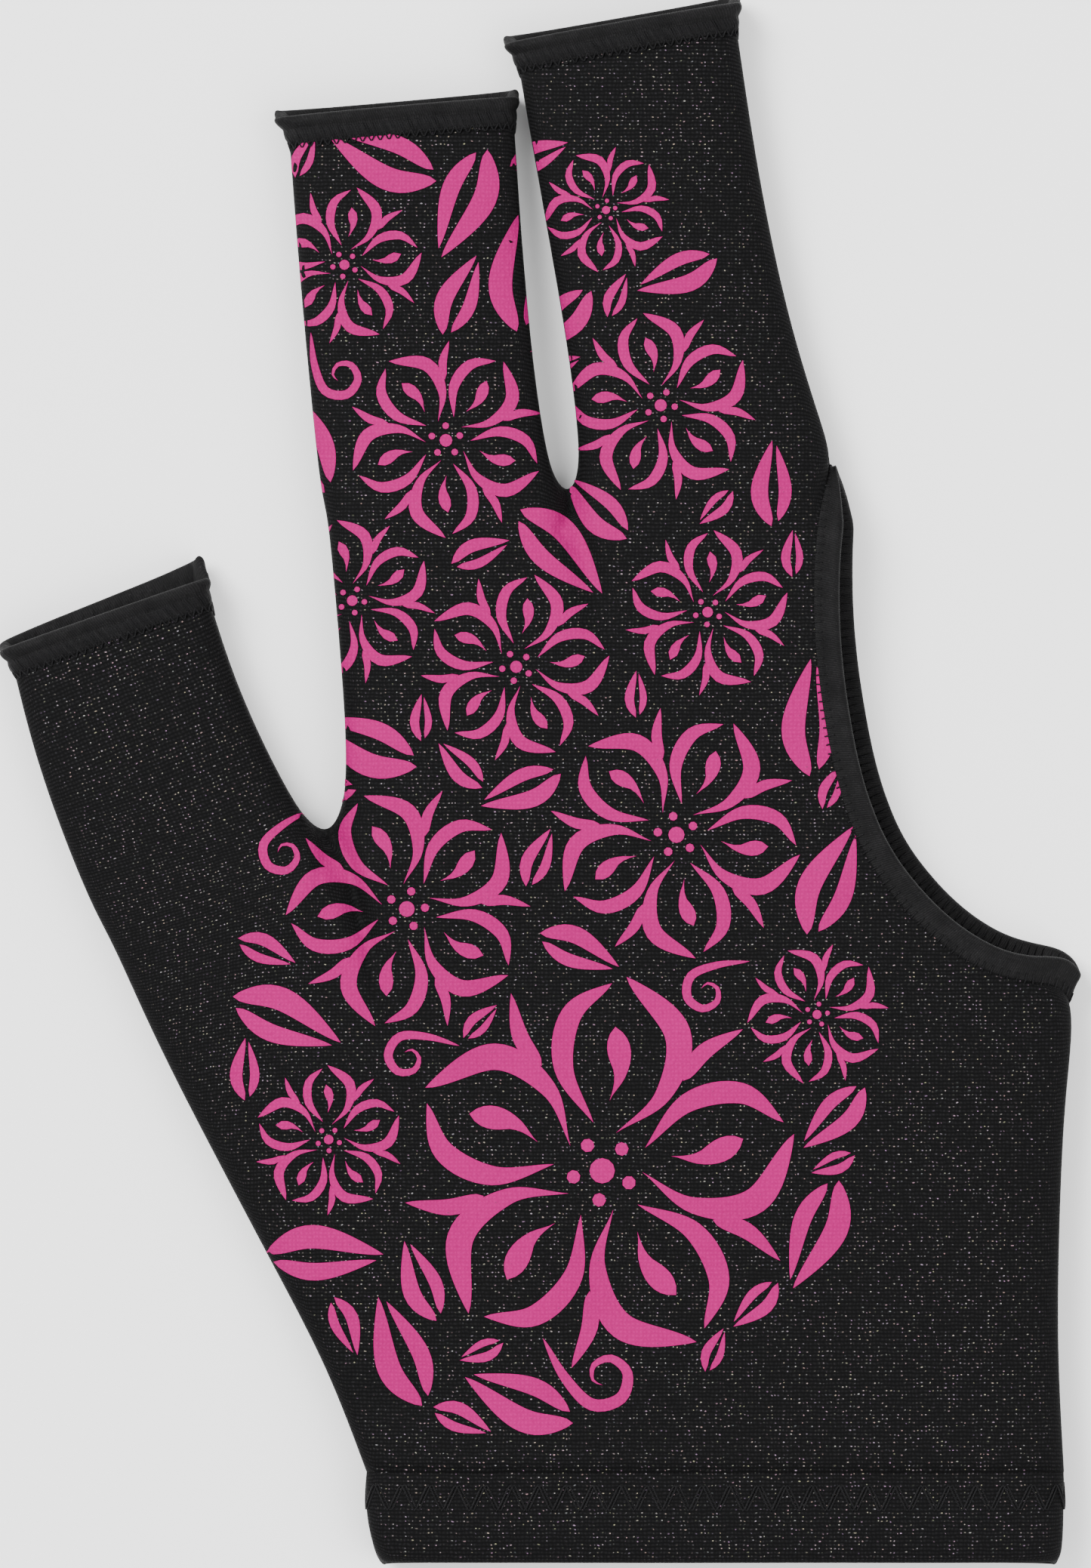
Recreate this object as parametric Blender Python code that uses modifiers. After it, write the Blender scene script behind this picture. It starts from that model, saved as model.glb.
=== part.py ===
"""Three-finger billiard glove, lying flat with its printed side up.

Two layers of knitted cloth meet along a seam at half height and leave the hand hollow.
Sleeves for the thumb, index and middle finger end in open hemmed mouths, a hemmed crescent
lets the other two fingers out, and a folded band closes the wrist.
Metres, +X to the little-finger side, +Y to the fingertips, +Z up off the table.
"""

from math import cos, pi, radians, sin

import bmesh
import bpy
from mathutils import Vector

COLLECTION = "billiard_glove"

# Hand: driving sizes in metres
CUFF_WIDTH = 0.090
HAND_LENGTH = 0.125
GLOVE_HEIGHT = 0.0090
SLEEVE_HEIGHT = 0.0086
SEAM_HEIGHT = 0.0042
SEAM_OVERRUN = 0.0008
CLOTH = 0.0012
GAP = 0.0003

# Sleeves
THUMB_LENGTH = 0.035
THUMB_WIDTH = 0.0272
INDEX_LENGTH = 0.0485
INDEX_WIDTH = 0.0295
MIDDLE_LENGTH = 0.0555
MIDDLE_WIDTH = 0.0284
SLOT_WIDTH = 0.0045
SLOT_TIP_GAP = 0.0010

# Hems
HEM_CLOTH = 0.0017
HEM_PROUD = 0.00025
MOUTH_HEM = 0.0032
MOUTH_PEEP = 0.0012
CUTOUT_HEM = 0.0040
CUTOUT_LAG = 0.0021
CUFF_HEM = 0.0116
CUFF_PEEP = 0.0007
CUFF_BELLY = 0.00054

# Flares of a mouth's hem at its left and right corners
THUMB_FLARES = (0.0008, 0.0009)
INDEX_FLARES = (0.0017, 0.0)
MIDDLE_FLARES = (0.0013, 0.0011)

# Leans of the sleeves' sides and mouths, turned to the thumb side
SLOT_LEAN = radians(7.5)
THUMB_LEAN = radians(23.0)
THUMB_TILT = radians(19.3)
INDEX_TILT = radians(5.0)
MIDDLE_TILT = radians(10.0)
UPPER_END_TURN = radians(-20.0)

# Shares of a strip's width where its lengthwise lines run, between its two edges
INSIDE_STEP = 0.07
CROTCH_STEP = 0.05
LIP_STEP = 0.08
QUARTER_STEP = 0.14
SHOULDER_RISE = 0.62
SHOULDER_DROP = 0.035

# Shares along a hem's run: where its ridge is, and how far it has flared there
RIDGE_AT = 0.5
RIDGE_FLARE = 0.35
UPPER_END_SHARE = 0.75
CUFF_SIDE = 0.9

# Lengthwise lines are counted from 0 at a strip's left edge to its last one on the right.
# A mouth's loop runs through the upper layer's lines, and back through the palm layer's.
LAST_LINE = 6
LEFT_CORNER = (0, 1, 11)
RIGHT_CORNER = (5, 6, 7)

# Rows across the hand, from the cuff to the fingers, as (across, up) on four lengthwise lines.
# Across is a share of CUFF_WIDTH and up a share of HAND_LENGTH.
HAND_ROWS = (
    # thumb_edge,      thumb_line,       finger_line,      little_edge
    ((-0.504, 0.000), (-0.200, 0.000), (0.111, 0.000), (0.498, 0.000)),
    ((-0.558, 0.105), (-0.263, 0.117), (0.073, 0.117), (0.488, 0.125)),
    ((-0.630, 0.202), (-0.327, 0.233), (0.036, 0.233), (0.491, 0.253)),
    ((-0.702, 0.300), (-0.388, 0.345), (0.001, 0.341), (0.499, 0.393)),
    ((-0.759, 0.378), (-0.444, 0.449), (-0.028, 0.433), (0.521, 0.500)),
    ((-0.806, 0.446), (-0.497, 0.545), (-0.057, 0.521), (0.452, 0.503)),
    ((-0.840, 0.500), (-0.537, 0.617), (-0.083, 0.601), (0.363, 0.515)),
    ((-0.869, 0.546), (-0.553, 0.648), (-0.104, 0.669), (0.250, 0.584)),
    (None, (-0.533, 0.694), (-0.126, 0.737), (0.183, 0.666)),
    (None, (-0.533, 0.757), (-0.149, 0.809), (0.151, 0.769)),
    (None, (-0.541, 0.837), (-0.175, 0.889), (0.134, 0.877)),
    (None, (-0.551, 0.921), (-0.201, 0.969), (0.142, 0.987)),
    (None, (-0.560, 0.985), (-0.211, 1.000), (0.171, 1.034)),
)
THUMB_CROTCH_ROW = 7
FINGER_CROTCH_ROW = 12
CUTOUT_ROW = 4

# Thumb sleeve: along is a share of its length, the bows are shares of THUMB_WIDTH
THUMB_ROWS = (
    # along, left_bow, right_bow
    (0.14, 0.030, 0.062),
    (0.42, 0.045, 0.072),
    (0.72, 0.040, 0.055),
    (1.00, 0.000, 0.000),
)

# Finger sleeves: along is a share of the sleeve's length, the widths of its own width
FINGER_ROWS = (
    # along, index_width, middle_width
    (0.07, 1.020, 1.120),
    (0.32, 0.995, 1.020),
    (0.66, 0.995, 1.000),
    (1.00, 1.000, 1.020),
)

# Slot between the fingers: along is a share of INDEX_LENGTH, open a share of SLOT_WIDTH
SLOT_SHAPE = (
    # along, open
    (0.00, 0.62),
    (0.07, 0.80),
    (0.26, 1.00),
    (0.50, 0.92),
    (0.78, 0.55),
)

# Dents of the upper layer: strip, row, lengthwise line, depth as a share of GLOVE_HEIGHT
DENTS = (
    ("thumb", 6, 6, 0.26),
    ("thumb", 5, 6, 0.13),
    ("thumb", 4, 6, 0.06),
    ("thumb", 7, 5, 0.06),
    ("thumb", 6, 4, -0.03),
    ("index", 11, 6, 0.24),
    ("index", 10, 6, 0.08),
    ("middle", 11, 2, -0.03),
    ("middle", 10, 1, 0.07),
    ("thumb", 1, 2, 0.07),
    ("thumb", 0, 2, 0.05),
    ("middle", 5, 3, 0.04),
)


def clear_scene():
    """Remove whatever the open file holds."""
    for thing in list(bpy.data.objects):
        bpy.data.objects.remove(thing, do_unlink=True)


def cloth_material(name, colour, roughness):
    """A plain Principled cloth."""
    material = bpy.data.materials.new(name)
    material.use_nodes = True
    shader = material.node_tree.nodes["Principled BSDF"]
    shader.inputs["Base Color"].default_value = (*colour, 1.0)
    shader.inputs["Roughness"].default_value = roughness
    shader.inputs["Metallic"].default_value = 0.0
    return material


def on_hand(point):
    """Turn a row's (across, up) shares into a place on the table."""
    across, up = point
    return Vector((across * CUFF_WIDTH, up * HAND_LENGTH, 0.0))


def toward_little(lean):
    """Unit vector across a sleeve that leans by this angle."""
    return Vector((cos(lean), sin(lean), 0.0))


def toward_tip(lean):
    """Unit vector along a sleeve that leans by this angle."""
    return Vector((-sin(lean), cos(lean), 0.0))


def read_table(table, place):
    """Value of a two-column table at a place, straight between its rows."""
    for (start, low), (end, high) in zip(table, table[1:]):
        if place <= end:
            return low + (high - low) * max(0.0, place - start) / (end - start)
    return table[-1][1]


def row_of(left, right, left_kind, right_kind, height):
    """One row across a strip: its two edge points, what they are, and its outer height."""
    return {"left": left, "right": right, "kinds": (left_kind, right_kind), "height": height}


def slot_side(distance, side):
    """Point on a side of the slot, -1 the index finger's and +1 the middle finger's."""
    crotch = on_hand(HAND_ROWS[FINGER_CROTCH_ROW][2])
    share = distance / INDEX_LENGTH
    tip = (1.0, SLOT_TIP_GAP / SLOT_WIDTH)
    half = read_table(SLOT_SHAPE + (tip,), share) * SLOT_WIDTH / 2
    return crotch + toward_tip(SLOT_LEAN) * distance + toward_little(SLOT_LEAN) * side * half


def cutout_shift(row, layer):
    """How far the palm layer's lip stands out past the upper layer's."""
    if layer == "back" or not CUTOUT_ROW < row < FINGER_CROTCH_ROW:
        return Vector()
    before = on_hand(HAND_ROWS[row - 1][3])
    after = on_hand(HAND_ROWS[row + 1][3])
    run = (after - before).normalized()
    share = (row - CUTOUT_ROW) / (FINGER_CROTCH_ROW - CUTOUT_ROW)
    return Vector((run.y, -run.x, 0.0)) * CUTOUT_LAG * sin(pi * share) ** 0.5


def edge_kind(row, crotch_row, free_after):
    """What a lengthwise line is at a row: inside the cloth, its crotch, or past it."""
    if row < crotch_row:
        return "inside"
    return "crotch" if row == crotch_row else free_after


def hand_strips(layer):
    """Rows of the thumb, index and middle strips up to their crotches."""
    strips = {"thumb": [], "index": [], "middle": []}
    for row, (thumb_edge, thumb_line, finger_line, little_edge) in enumerate(HAND_ROWS):
        left = on_hand(thumb_line)
        middle = on_hand(finger_line)
        right = on_hand(little_edge) + cutout_shift(row, layer)
        thumb_kind = edge_kind(row, THUMB_CROTCH_ROW, "seam")
        finger_kind = edge_kind(row, FINGER_CROTCH_ROW, "seam")
        little_kind = "lip" if CUTOUT_ROW < row < FINGER_CROTCH_ROW else "seam"
        if thumb_edge:
            edge = on_hand(thumb_edge)
            strips["thumb"].append(row_of(edge, left, "seam", thumb_kind, GLOVE_HEIGHT))
        strips["index"].append(row_of(left, middle, thumb_kind, finger_kind, GLOVE_HEIGHT))
        strips["middle"].append(row_of(middle, right, finger_kind, little_kind, GLOVE_HEIGHT))
    return strips


def sleeve_rows(strips):
    """Add the three sleeves' rows past their crotches."""
    root_left = strips["thumb"][-1]["left"]
    root_right = strips["thumb"][-1]["right"]
    centre = (root_left + root_right) / 2 + toward_tip(THUMB_LEAN) * THUMB_LENGTH
    half_mouth = toward_little(THUMB_TILT) * THUMB_WIDTH / 2
    outward = toward_little(THUMB_LEAN)
    for along, left_bow, right_bow in THUMB_ROWS:
        left = root_left.lerp(centre - half_mouth, along) - outward * left_bow * THUMB_WIDTH
        right = root_right.lerp(centre + half_mouth, along) - outward * right_bow * THUMB_WIDTH
        strips["thumb"].append(row_of(left, right, "seam", "seam", SLEEVE_HEIGHT))
    for along, index_share, middle_share in FINGER_ROWS:
        right = slot_side(along * INDEX_LENGTH, -1)
        left = right - toward_little(INDEX_TILT) * INDEX_WIDTH * index_share
        strips["index"].append(row_of(left, right, "seam", "seam", SLEEVE_HEIGHT))
        left = slot_side(along * MIDDLE_LENGTH, 1)
        right = left + toward_little(MIDDLE_TILT) * MIDDLE_WIDTH * middle_share
        strips["middle"].append(row_of(left, right, "seam", "seam", SLEEVE_HEIGHT))
    return strips


def glove_strips(layer):
    """All rows of the three strips that make one layer."""
    return sleeve_rows(hand_strips(layer))


def seam_side_height(kind, line_from_edge, layer, height):
    """Outer height of a lengthwise line, counted from the edge it belongs to."""
    flat = height if layer == "back" else 0.0
    if kind in ("inside", "lip"):
        return flat
    if line_from_edge == 0:
        return SEAM_HEIGHT + (-SEAM_OVERRUN if layer == "back" else SEAM_OVERRUN)
    if line_from_edge == 1:
        return SEAM_HEIGHT + (flat - SEAM_HEIGHT) * SHOULDER_RISE
    if layer == "back":
        return flat - height * SHOULDER_DROP
    return flat


def row_points(row, layer):
    """The seven points of a row, from its left edge to its right edge."""
    steps = {"seam": 0.0, "crotch": CROTCH_STEP, "inside": INSIDE_STEP, "lip": LIP_STEP}
    left_kind, right_kind = row["kinds"]
    shares = (
        0.0,
        steps[left_kind],
        QUARTER_STEP,
        0.5,
        1.0 - QUARTER_STEP,
        1.0 - steps[right_kind],
        1.0,
    )
    heights = [seam_side_height(left_kind, line, layer, row["height"]) for line in (0, 1, 2)]
    heights.append(row["height"] if layer == "back" else 0.0)
    heights += [seam_side_height(right_kind, line, layer, row["height"]) for line in (2, 1, 0)]
    points = []
    for share, height in zip(shares, heights):
        point = row["left"].lerp(row["right"], share)
        point.z = height
        points.append(point)
    return points


def dented(points_by_strip):
    """Press the named dents into the upper layer."""
    shared = {("thumb", 6): ("index", 0), ("index", 6): ("middle", 0)}
    for strip, row, line, depth in DENTS:
        places = [(strip, line)]
        if (strip, line) in shared:
            places.append(shared[(strip, line)])
        for name, column in places:
            points_by_strip[name][row][column].z -= depth * GLOVE_HEIGHT
    return points_by_strip


def layer_points(layer):
    """Cage points of one layer: strip name to rows of seven points."""
    points = {}
    for name, rows in glove_strips(layer).items():
        points[name] = [row_points(row, layer) for row in rows]
    return dented(points) if layer == "back" else points


def add_object(name, mesh, material, collection):
    """Put a mesh in the glove's collection with its one material."""
    piece = bpy.data.objects.new(name, mesh)
    piece.data.materials.append(material)
    collection.objects.link(piece)
    return piece


def add_cloth_modifiers(piece, thickness):
    """Smooth the coarse cage, then give the cloth its thickness inward."""
    smooth = piece.modifiers.new("smooth_cloth", "SUBSURF")
    smooth.levels = 1
    smooth.render_levels = 1
    smooth.boundary_smooth = "PRESERVE_CORNERS"
    wall = piece.modifiers.new("cloth_thickness", "SOLIDIFY")
    wall.thickness = thickness
    wall.offset = -1.0
    wall.use_even_offset = True
    wall.use_quality_normals = True


def seam_trimmer(layer, collection):
    """Block that trims a layer flat along the seam, all that lies past its side of the seam."""
    side = -1 if layer == "back" else 1
    reach = 2 * (CUFF_WIDTH + HAND_LENGTH + MIDDLE_LENGTH)
    bpy.ops.mesh.primitive_cube_add(size=1.0)
    trimmer = bpy.context.active_object
    trimmer.name = "seam_trimmer_" + layer
    trimmer.dimensions = (reach, reach, GLOVE_HEIGHT)
    bpy.ops.object.transform_apply(location=False, rotation=False, scale=True)
    trimmer.location.z = SEAM_HEIGHT - side * (GAP - GLOVE_HEIGHT) / 2
    trimmer.hide_render = True
    trimmer.display_type = "WIRE"
    for home in list(trimmer.users_collection):
        home.objects.unlink(trimmer)
    collection.objects.link(trimmer)
    return trimmer


def build_layer(name, layer, material, collection, cutters):
    """One layer of the glove: three strips joined below their crotches, trimmed at the seam."""
    cage = bmesh.new()
    lines = range(7) if layer == "back" else (0, 1, 2, 4, 5, 6)
    for rows in layer_points(layer).values():
        grid = [[cage.verts.new(row[line]) for line in lines] for row in rows]
        for low, high in zip(grid, grid[1:]):
            for corner in range(len(low) - 1):
                face = [low[corner], low[corner + 1], high[corner + 1], high[corner]]
                cage.faces.new(face if layer == "back" else face[::-1])
    bmesh.ops.remove_doubles(cage, verts=cage.verts, dist=GAP / 10)
    mesh = bpy.data.meshes.new(name)
    cage.to_mesh(mesh)
    cage.free()
    mesh.shade_smooth()
    piece = add_object(name, mesh, material, collection)
    add_cloth_modifiers(piece, CLOTH)
    trim = piece.modifiers.new("trim_at_seam", "BOOLEAN")
    trim.operation = "DIFFERENCE"
    trim.solver = "EXACT"
    trim.object = seam_trimmer(layer, cutters)
    return piece


def mouth_loop(back_row, palm_row):
    """Points round a mouth: over the upper layer to the right, back under the palm layer."""
    loop = [("back", point.copy()) for point in back_row]
    loop += [("palm", point.copy()) for point in palm_row[-2:0:-1]]
    for layer, point in (loop[0], loop[len(back_row) - 1]):
        point.z = SEAM_HEIGHT
    return loop


def build_band(name, stations, material, collection):
    """A hem: a closed band lofted through its stations, three points deep.

    A station holds its starting point, the run to its free edge, the lift of its free
    edge, and how far its ridge stands proud. Seen along the run, the stations go round
    anticlockwise, so that the band's faces point outward.
    """
    cage = bmesh.new()
    rings = [[], [], []]
    for start, run, lift, proud in stations:
        along = run.normalized()
        rings[0].append(cage.verts.new(start + along * GAP))
        rings[1].append(cage.verts.new(start + run * RIDGE_AT + lift * RIDGE_FLARE + proud))
        rings[2].append(cage.verts.new(start + run + lift))
    count = len(stations)
    for low, high in zip(rings, rings[1:]):
        for this in range(count):
            following = (this + 1) % count
            cage.faces.new((low[this], low[following], high[following], high[this]))
    mesh = bpy.data.meshes.new(name)
    cage.to_mesh(mesh)
    cage.free()
    mesh.shade_smooth()
    piece = add_object(name, mesh, material, collection)
    add_cloth_modifiers(piece, HEM_CLOTH)
    return piece


def build_mouth_hem(name, strip, tilt, flares, layers, material, collection):
    """Hem of a sleeve's mouth, flaring at its corners, longer on the palm side."""
    back_row = layers["back"][strip][-1]
    palm_row = layers["palm"][strip][-1]
    along = toward_tip(tilt)
    outward = toward_little(tilt)
    stations = []
    for order, (layer, point) in enumerate(mouth_loop(back_row, palm_row)):
        corner_left = order in LEFT_CORNER
        corner_right = order in RIGHT_CORNER
        lift = Vector()
        if corner_left:
            lift = outward * -flares[0]
        if corner_right:
            lift = outward * flares[1]
        on_top = layer == "back" and not (corner_left or corner_right)
        length = GAP + MOUTH_HEM + (0.0 if layer == "back" else MOUTH_PEEP)
        proud = Vector((0.0, 0.0, HEM_PROUD if on_top else 0.0))
        stations.append((point, along * length, lift, proud))
    return build_band(name, stations, material, collection)


def build_cuff_hem(layers, material, collection):
    """Folded band at the wrist, bellied at half height and drawn in at its edge."""
    lines_of = {"thumb": (0, 1, 2, 3, 4), "index": (0, 2, 3, 4), "middle": (0, 2, 3, 4, 5, 6)}
    rows = {"back": [], "palm": []}
    for layer, row in rows.items():
        for strip, lines in lines_of.items():
            row += [layers[layer][strip][0][line] for line in lines]
    stations = []
    for layer, point in mouth_loop(rows["back"], rows["palm"]):
        side = max(-1.0, min(1.0, 2 * point.x / CUFF_WIDTH))
        outward = Vector((side * CUFF_BELLY if abs(side) > CUFF_SIDE else 0.0, 0.0, 0.0))
        length = CUFF_HEM + (0.0 if layer == "back" else CUFF_PEEP)
        proud = Vector((0.0, 0.0, HEM_PROUD if layer == "back" else 0.0)) + outward
        stations.append((point, Vector((0.0, -length, 0.0)), outward * -1.0, proud))
    return build_band("cuff_hem", stations[::-1], material, collection)


def cutout_station(row, layers, layer):
    """A station of the crescent's hem at a row of the hand, and the way out from it."""
    point = layers[layer]["middle"][row][LAST_LINE].copy()
    before = layers[layer]["middle"][row - 1][LAST_LINE]
    after = layers[layer]["middle"][row + 1][LAST_LINE]
    run = after - before
    outward = Vector((run.y, -run.x, 0.0)).normalized()
    return point, outward


def build_cutout_hem(layers, material, collection):
    """Hem round the crescent for the ring and little fingers, over and under the hand."""
    stations = []
    rows = range(CUTOUT_ROW, FINGER_CROTCH_ROW + 1)
    end_runs = {
        CUTOUT_ROW: toward_tip(0.0) * MOUTH_HEM,
        FINGER_CROTCH_ROW: toward_little(UPPER_END_TURN) * MOUTH_HEM * UPPER_END_SHARE,
    }
    for layer, order in (("back", rows), ("palm", reversed(rows))):
        for row in order:
            if row in end_runs:
                starts_layer = (layer == "back") == (row == CUTOUT_ROW)
                lines = (LAST_LINE, LAST_LINE - 1) if starts_layer else (LAST_LINE - 1, LAST_LINE)
                run = end_runs[row]
                for line in lines:
                    if layer == "palm" and line == LAST_LINE:
                        continue
                    point = layers[layer]["middle"][row][line].copy()
                    if line == LAST_LINE:
                        point.z = SEAM_HEIGHT
                    stations.append((point + run.normalized() * GAP, run, Vector(), Vector()))
                continue
            point, outward = cutout_station(row, layers, layer)
            proud = Vector((0.0, 0.0, HEM_PROUD if layer == "back" else 0.0))
            stations.append((point, outward * CUTOUT_HEM, Vector(), proud))
    return build_band("cutout_hem", stations[::-1], material, collection)


def centre_on_table(pieces, cutters):
    """Move all pieces so that the glove's footprint is centred and it rests at zero height."""
    bpy.context.view_layer.update()
    depsgraph = bpy.context.evaluated_depsgraph_get()
    corners = []
    for piece in pieces:
        shape = piece.evaluated_get(depsgraph)
        corners += [Vector(corner) for corner in shape.bound_box]
    low = Vector([min(corner[axis] for corner in corners) for axis in range(3)])
    high = Vector([max(corner[axis] for corner in corners) for axis in range(3)])
    shift = Vector((-(low.x + high.x) / 2, -(low.y + high.y) / 2, -low.z))
    for thing in list(pieces) + list(cutters):
        thing.location += shift


def build_glove():
    """Build all pieces of the glove in its own collection."""
    clear_scene()
    collection = bpy.data.collections.new(COLLECTION)
    cutters = bpy.data.collections.new("cutters")
    bpy.context.scene.collection.children.link(collection)
    bpy.context.scene.collection.children.link(cutters)
    knit = cloth_material("black_knit", (0.012, 0.012, 0.014), 0.85)
    under_knit = cloth_material("palm_knit", (0.014, 0.014, 0.016), 0.88)
    hem_knit = cloth_material("hem_knit", (0.009, 0.009, 0.010), 0.70)
    layers = {"back": layer_points("back"), "palm": layer_points("palm")}
    pieces = [
        build_layer("back_panel", "back", knit, collection, cutters),
        build_layer("palm_panel", "palm", under_knit, collection, cutters),
        build_cuff_hem(layers, hem_knit, collection),
        build_cutout_hem(layers, hem_knit, collection),
    ]
    mouths = (
        # name, strip, tilt, flares
        ("thumb_hem", "thumb", THUMB_TILT, THUMB_FLARES),
        ("index_hem", "index", INDEX_TILT, INDEX_FLARES),
        ("middle_hem", "middle", MIDDLE_TILT, MIDDLE_FLARES),
    )
    for name, strip, tilt, flares in mouths:
        pieces.append(build_mouth_hem(name, strip, tilt, flares, layers, hem_knit, collection))
    centre_on_table(pieces, cutters.objects)


build_glove()
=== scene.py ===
# %% [markdown]
# A billiard glove is two layers of fine knit, sewn together round the edge and turned inside out.
# It covers the thumb and two fingers, so that the hand slides along a cue, and lies flat when
# nobody wears it. The solids of the frame already hold its true size, hollow and open. This
# lesson dresses them: finer cloth over the same lines, rolled hems, thread and a printed design.

# %% Load the frame
from math import ceil, cos, exp, hypot, pi, radians, sin

import bmesh
import bpy
import numpy as np
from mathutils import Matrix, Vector, noise
from mathutils.bvhtree import BVHTree
from mathutils.geometry import delaunay_2d_cdt


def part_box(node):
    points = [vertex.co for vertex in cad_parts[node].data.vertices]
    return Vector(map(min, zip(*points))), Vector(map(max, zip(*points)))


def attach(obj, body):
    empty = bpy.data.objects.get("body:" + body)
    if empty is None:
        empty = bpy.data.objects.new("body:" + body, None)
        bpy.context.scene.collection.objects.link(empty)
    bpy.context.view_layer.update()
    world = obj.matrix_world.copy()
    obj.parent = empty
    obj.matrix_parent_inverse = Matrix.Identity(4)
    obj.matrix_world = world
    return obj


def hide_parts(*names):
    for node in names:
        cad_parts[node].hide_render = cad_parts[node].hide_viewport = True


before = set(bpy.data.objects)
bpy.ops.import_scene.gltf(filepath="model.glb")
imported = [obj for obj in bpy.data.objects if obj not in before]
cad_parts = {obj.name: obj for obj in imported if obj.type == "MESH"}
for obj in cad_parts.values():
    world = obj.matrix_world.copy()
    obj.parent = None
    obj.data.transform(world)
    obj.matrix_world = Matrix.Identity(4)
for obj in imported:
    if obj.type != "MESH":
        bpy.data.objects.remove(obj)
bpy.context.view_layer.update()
print("frame nodes:", sorted(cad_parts))

# %% [markdown]
# A pattern cutter measures from a few fixed lines. Here they are the line where the cuff meets
# the hand, and the middle of the cuff. Both come from the frame's boxes, so all that follows
# lies where the solids lie. Lengths are in metres, and MM turns a length in millimetres to them.

# %% Measure from the frame
MM = 0.001
palm_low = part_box("palm_panel")[0]
back_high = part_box("back_panel")[1]
cuff_low, cuff_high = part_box("cuff_hem")
CUFF_WIDTH = 90 * MM
HAND_LENGTH = 125 * MM
CUFF_MIDDLE = 0.27 * MM
ORIGIN = Vector(((cuff_low.x + cuff_high.x) / 2 + CUFF_MIDDLE, palm_low.y, 0.0))
TOP = back_high.z
print("hand origin", ORIGIN, "top of the cloth", TOP)

# %% [markdown]
# The photograph looks straight down on the glove, so the camera does too. A long lens far away
# keeps the sides from showing. The frame of the picture is 1445 by 2077 pixels, and one pixel
# covers 0.097 mm of the table, which fixes how high the camera hangs.

# %% Camera
PICTURE_ROWS = 2077
PIXEL = 0.097 * MM
PICTURE_HEIGHT = PICTURE_ROWS * PIXEL
CAMERA_X = 0.75 * MM
CAMERA_Y = -0.5 * MM
LENS = 180.0
SENSOR = 36.0
EDGE_HEIGHT = 5 * MM
camera_data = bpy.data.cameras.new("camera")
camera_data.lens = LENS
camera_data.sensor_width = SENSOR
camera = bpy.data.objects.new("camera", camera_data)
camera.location = (CAMERA_X, CAMERA_Y, EDGE_HEIGHT + PICTURE_HEIGHT * LENS / SENSOR)
camera_data.clip_end = 10.0
bpy.context.scene.collection.objects.link(camera)
bpy.context.scene.camera = camera
print("camera height", camera.location.z)

# %% [markdown]
# The glove lies on a plain pale table. It could be a round studio sweep, but the camera looks
# straight down, so a flat sheet does. It lies a hair below the cloth, so that nothing flickers.

# %% The table
TABLE_SIZE = 6.0
TABLE_DROP = 0.02 * MM
TABLE_GREY = (0.86, 0.86, 0.86, 1.0)


def new_material(name, **finish):
    """A material, its node tree and its shader, with the shader's numbers set by name."""
    material = bpy.data.materials.new(name)
    material.use_nodes = True
    shader = material.node_tree.nodes["Principled BSDF"]
    for key, value in finish.items():
        shader.inputs[key.replace("_", " ")].default_value = value
    return material, material.node_tree, shader


bpy.ops.mesh.primitive_plane_add(size=TABLE_SIZE, location=(0.0, 0.0, -TABLE_DROP))
table = bpy.context.active_object
table.name = "table"
pale, _, _ = new_material("pale_table", Base_Color=TABLE_GREY, Roughness=0.9)
table.data.materials.append(pale)
print("table height", table.location.z)

# %% [markdown]
# Black cloth is hard to light: its folds show only as soft shine. A wide lamp from the upper
# left rakes over the hems, a wider and weaker one fills in, and the pale table throws light back.

# %% Lights
KEY_PLACE = Vector((-0.9, 0.7, 1.3))
KEY_POWER = 60.0
FILL_PLACE = Vector((0.9, -0.5, 1.2))
FILL_POWER = 28.0
WORLD_POWER = 1.3


def soft_lamp(name, place, size, power):
    """A square lamp that faces the glove."""
    lamp_data = bpy.data.lights.new(name, "AREA")
    lamp_data.size = size
    lamp_data.energy = power
    lamp = bpy.data.objects.new(name, lamp_data)
    lamp.location = place
    lamp.rotation_mode = "QUATERNION"
    lamp.rotation_quaternion = (-lamp.location).to_track_quat("-Z", "Y")
    bpy.context.scene.collection.objects.link(lamp)


soft_lamp("key_lamp", KEY_PLACE, 0.9, KEY_POWER)
soft_lamp("fill_lamp", FILL_PLACE, 1.4, FILL_POWER)
world = bpy.data.worlds.new("studio")
bpy.context.scene.world = world
world.use_nodes = True
sky = world.node_tree.nodes["Background"]
sky.inputs["Color"].default_value = (1.0, 1.0, 1.0, 1.0)
sky.inputs["Strength"].default_value = WORLD_POWER

# %% [markdown]
# Materials are small programs made of nodes. Wired by hand they fill pages, so five helpers come
# first: one adds a node, one does a sum, one mixes two colours, one stretches a value, and one
# makes a surface look raised where a value is high.

# %% Node helpers
def add_node(tree, kind, **values):
    """A new node, with its properties or numbered inputs set."""
    made = tree.nodes.new(kind)
    for key, value in values.items():
        if key.startswith("in_"):
            made.inputs[int(key[3:])].default_value = value
        else:
            setattr(made, key, value)
    return made


def maths(tree, operation, first, second=None, third=None):
    """One sum on sockets or numbers, and its result."""
    made = add_node(tree, "ShaderNodeMath", operation=operation)
    for place, value in enumerate((first, second, third)):
        if value is None:
            continue
        if isinstance(value, (int, float)):
            made.inputs[place].default_value = value
        else:
            tree.links.new(value, made.inputs[place])
    return made.outputs[0]


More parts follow.
